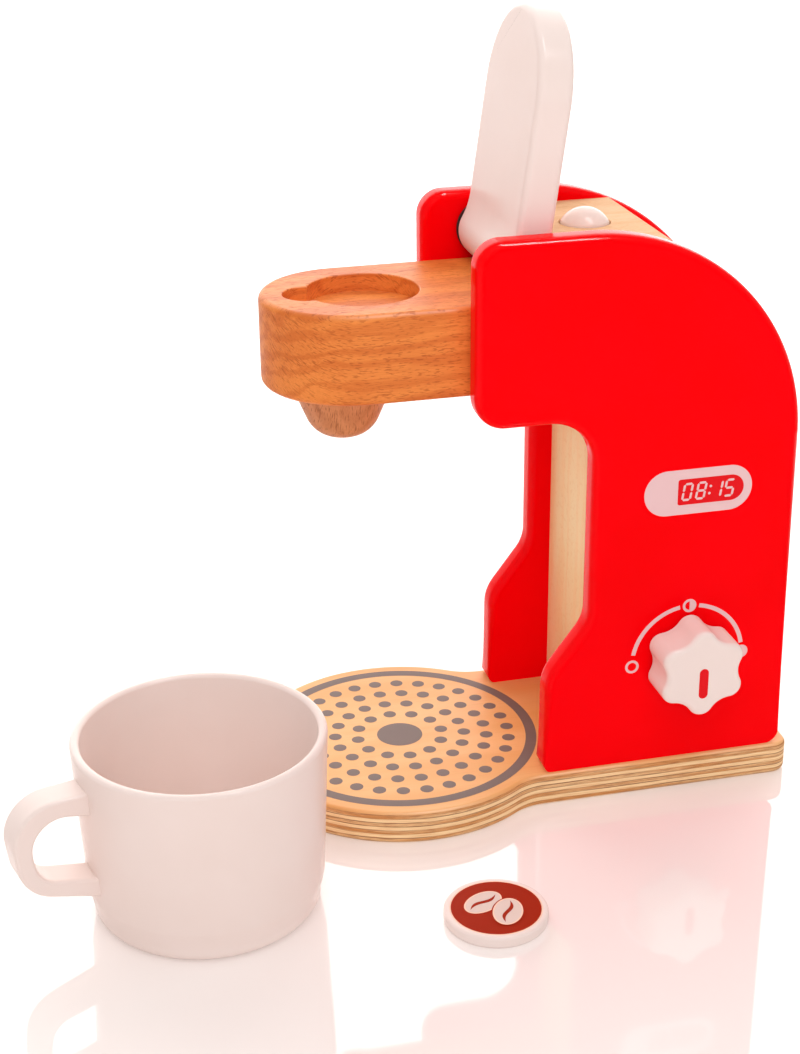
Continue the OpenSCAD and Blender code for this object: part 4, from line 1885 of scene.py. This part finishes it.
@dataclass
class Studio:
    """The pale floor, the soft lights and the camera, with the eye point in millimetres."""

    eye: Vector = Vector((599.8, -144.0, 359.9))
    heading: float = 76.578
    dip: float = 23.458
    roll: float = -0.701
    lens: float = 65.62
    sensor: float = 36.0
    shift: tuple[float, float] = (0.0048, 0.0062)
    floor_size: float = 12.0
    toy_middle: Vector = Vector((0, 0.03, 0.1))
    bright_side: Vector = Vector((-0.97, 0.23, 0.42))
    surround: tuple[float, float] = (0.6, 2.4)
    softboxes: tuple[Lamp, ...] = (
        Lamp("key_softbox", Vector((0.95, -0.15, 0.95)), (1.0, 1.0), 1.65),
        Lamp("top_softbox", Vector((0.3, -0.3, 1.4)), (0.6, 0.6), 1.6),
    )
    glint: Lamp = Lamp("edge_glint", Vector((0.43, 0.31, 1.4)), (0.3, 0.7), 60)

    def build(self) -> None:
        """Sets up everything round the toy."""
        self._floor()
        self._lights()
        self._camera()
        bpy.context.scene.view_settings.view_transform = "Standard"

    def _floor(self) -> None:
        """Lays a wide glossy pale floor."""
        bpy.ops.object.select_all(action="DESELECT")
        bpy.ops.mesh.primitive_plane_add(size=self.floor_size)
        floor = Bench.named("floor")
        graph = Graph(bpy.data.materials.new("floor_white"))
        haze = graph.noise(90)
        colour = graph.blend(haze, (0.74, 0.665, 0.64), (0.72, 0.645, 0.62))
        glow = {"Emission_Strength": 0.22, "Emission_Color": (1.0, 0.96, 0.94, 1.0)}
        material = graph.surface(colour, 0.035 + haze * 0.02, Specular_IOR_Level=1.0, **glow)
        floor.data.materials.append(material)

    def _lights(self) -> None:
        """Makes a pale surround that is brightest behind the toy, and hangs soft lights before it."""
        sky = Graph(bpy.data.worlds.new("surround"), "Generated")
        low, rise = self.surround
        glow = low + sky.towards(self.bright_side).ramp(0.62, 0.88) * rise
        bpy.context.scene.world = sky.surround((1.0, 0.98, 0.96), glow)
        for softbox in self.softboxes:
            softbox.hang(self.toy_middle).visible_glossy = False
        self.glint.hang(self.toy_middle).visible_diffuse = False

    def _camera(self) -> None:
        """Places the camera by its eye point, heading, dip and roll."""
        heading, dip, roll = (math.radians(a) for a in (self.heading, self.dip, self.roll))
        level = Vector((math.cos(heading), math.sin(heading), 0))
        back = Vector((level.y * math.cos(dip), -level.x * math.cos(dip), math.sin(dip)))
        upright = back.cross(level)
        right = level * math.cos(roll) + upright * math.sin(roll)
        up = upright * math.cos(roll) - level * math.sin(roll)
        data = bpy.data.cameras.new("camera")
        data.lens, data.sensor_width = self.lens, self.sensor
        data.shift_x, data.shift_y = self.shift
        data.clip_start, data.clip_end = 0.01, 30
        camera = bpy.data.objects.new("camera", data)
        turned = Matrix((right, up, back)).transposed().to_4x4()
        camera.matrix_world = Matrix.Translation(self.eye * MM) @ turned
        bpy.context.scene.collection.objects.link(camera)
        bpy.context.scene.camera = camera


def dress_frame() -> None:
    """Gives the frame's own nodes that stay in view their finishes."""
    dressed: tuple[tuple[Finish, tuple[str, ...]], ...] = (
        # The column's pale colour is partly painted light.
        (COLUMN, ("column_board", "back_board")),
        (PALE_BEECH, ("panel_dowels", "lever_axle", "knob_shaft")),
        (STEEL, ("base_screws", "knob_retainer", "knob_screw", "button_spring")),
        # The washers' near-black colour is painted shade for the gap beside the lever's hub.
        (WASHER_GAP_SHADE, ("lever_washers",)),
    )
    for finish, names in dressed:
        finish.dress(*(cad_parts[name] for name in names))


def main() -> None:
    """Builds the studio and the toy, piece by piece."""
    logging.basicConfig(level=logging.INFO, format="%(name)s: %(message)s")
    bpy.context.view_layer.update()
    Studio().build()
    dress_frame()
    for part in (BaseBoard(), SidePanels(), Dial(), Clock(), Arm(), TopBlock(), Lever(), Knob(), Cup(), Pod()):
        LOG.info("building %s", type(part).__name__)
        part.build()


if __name__ == "__main__":
    main()
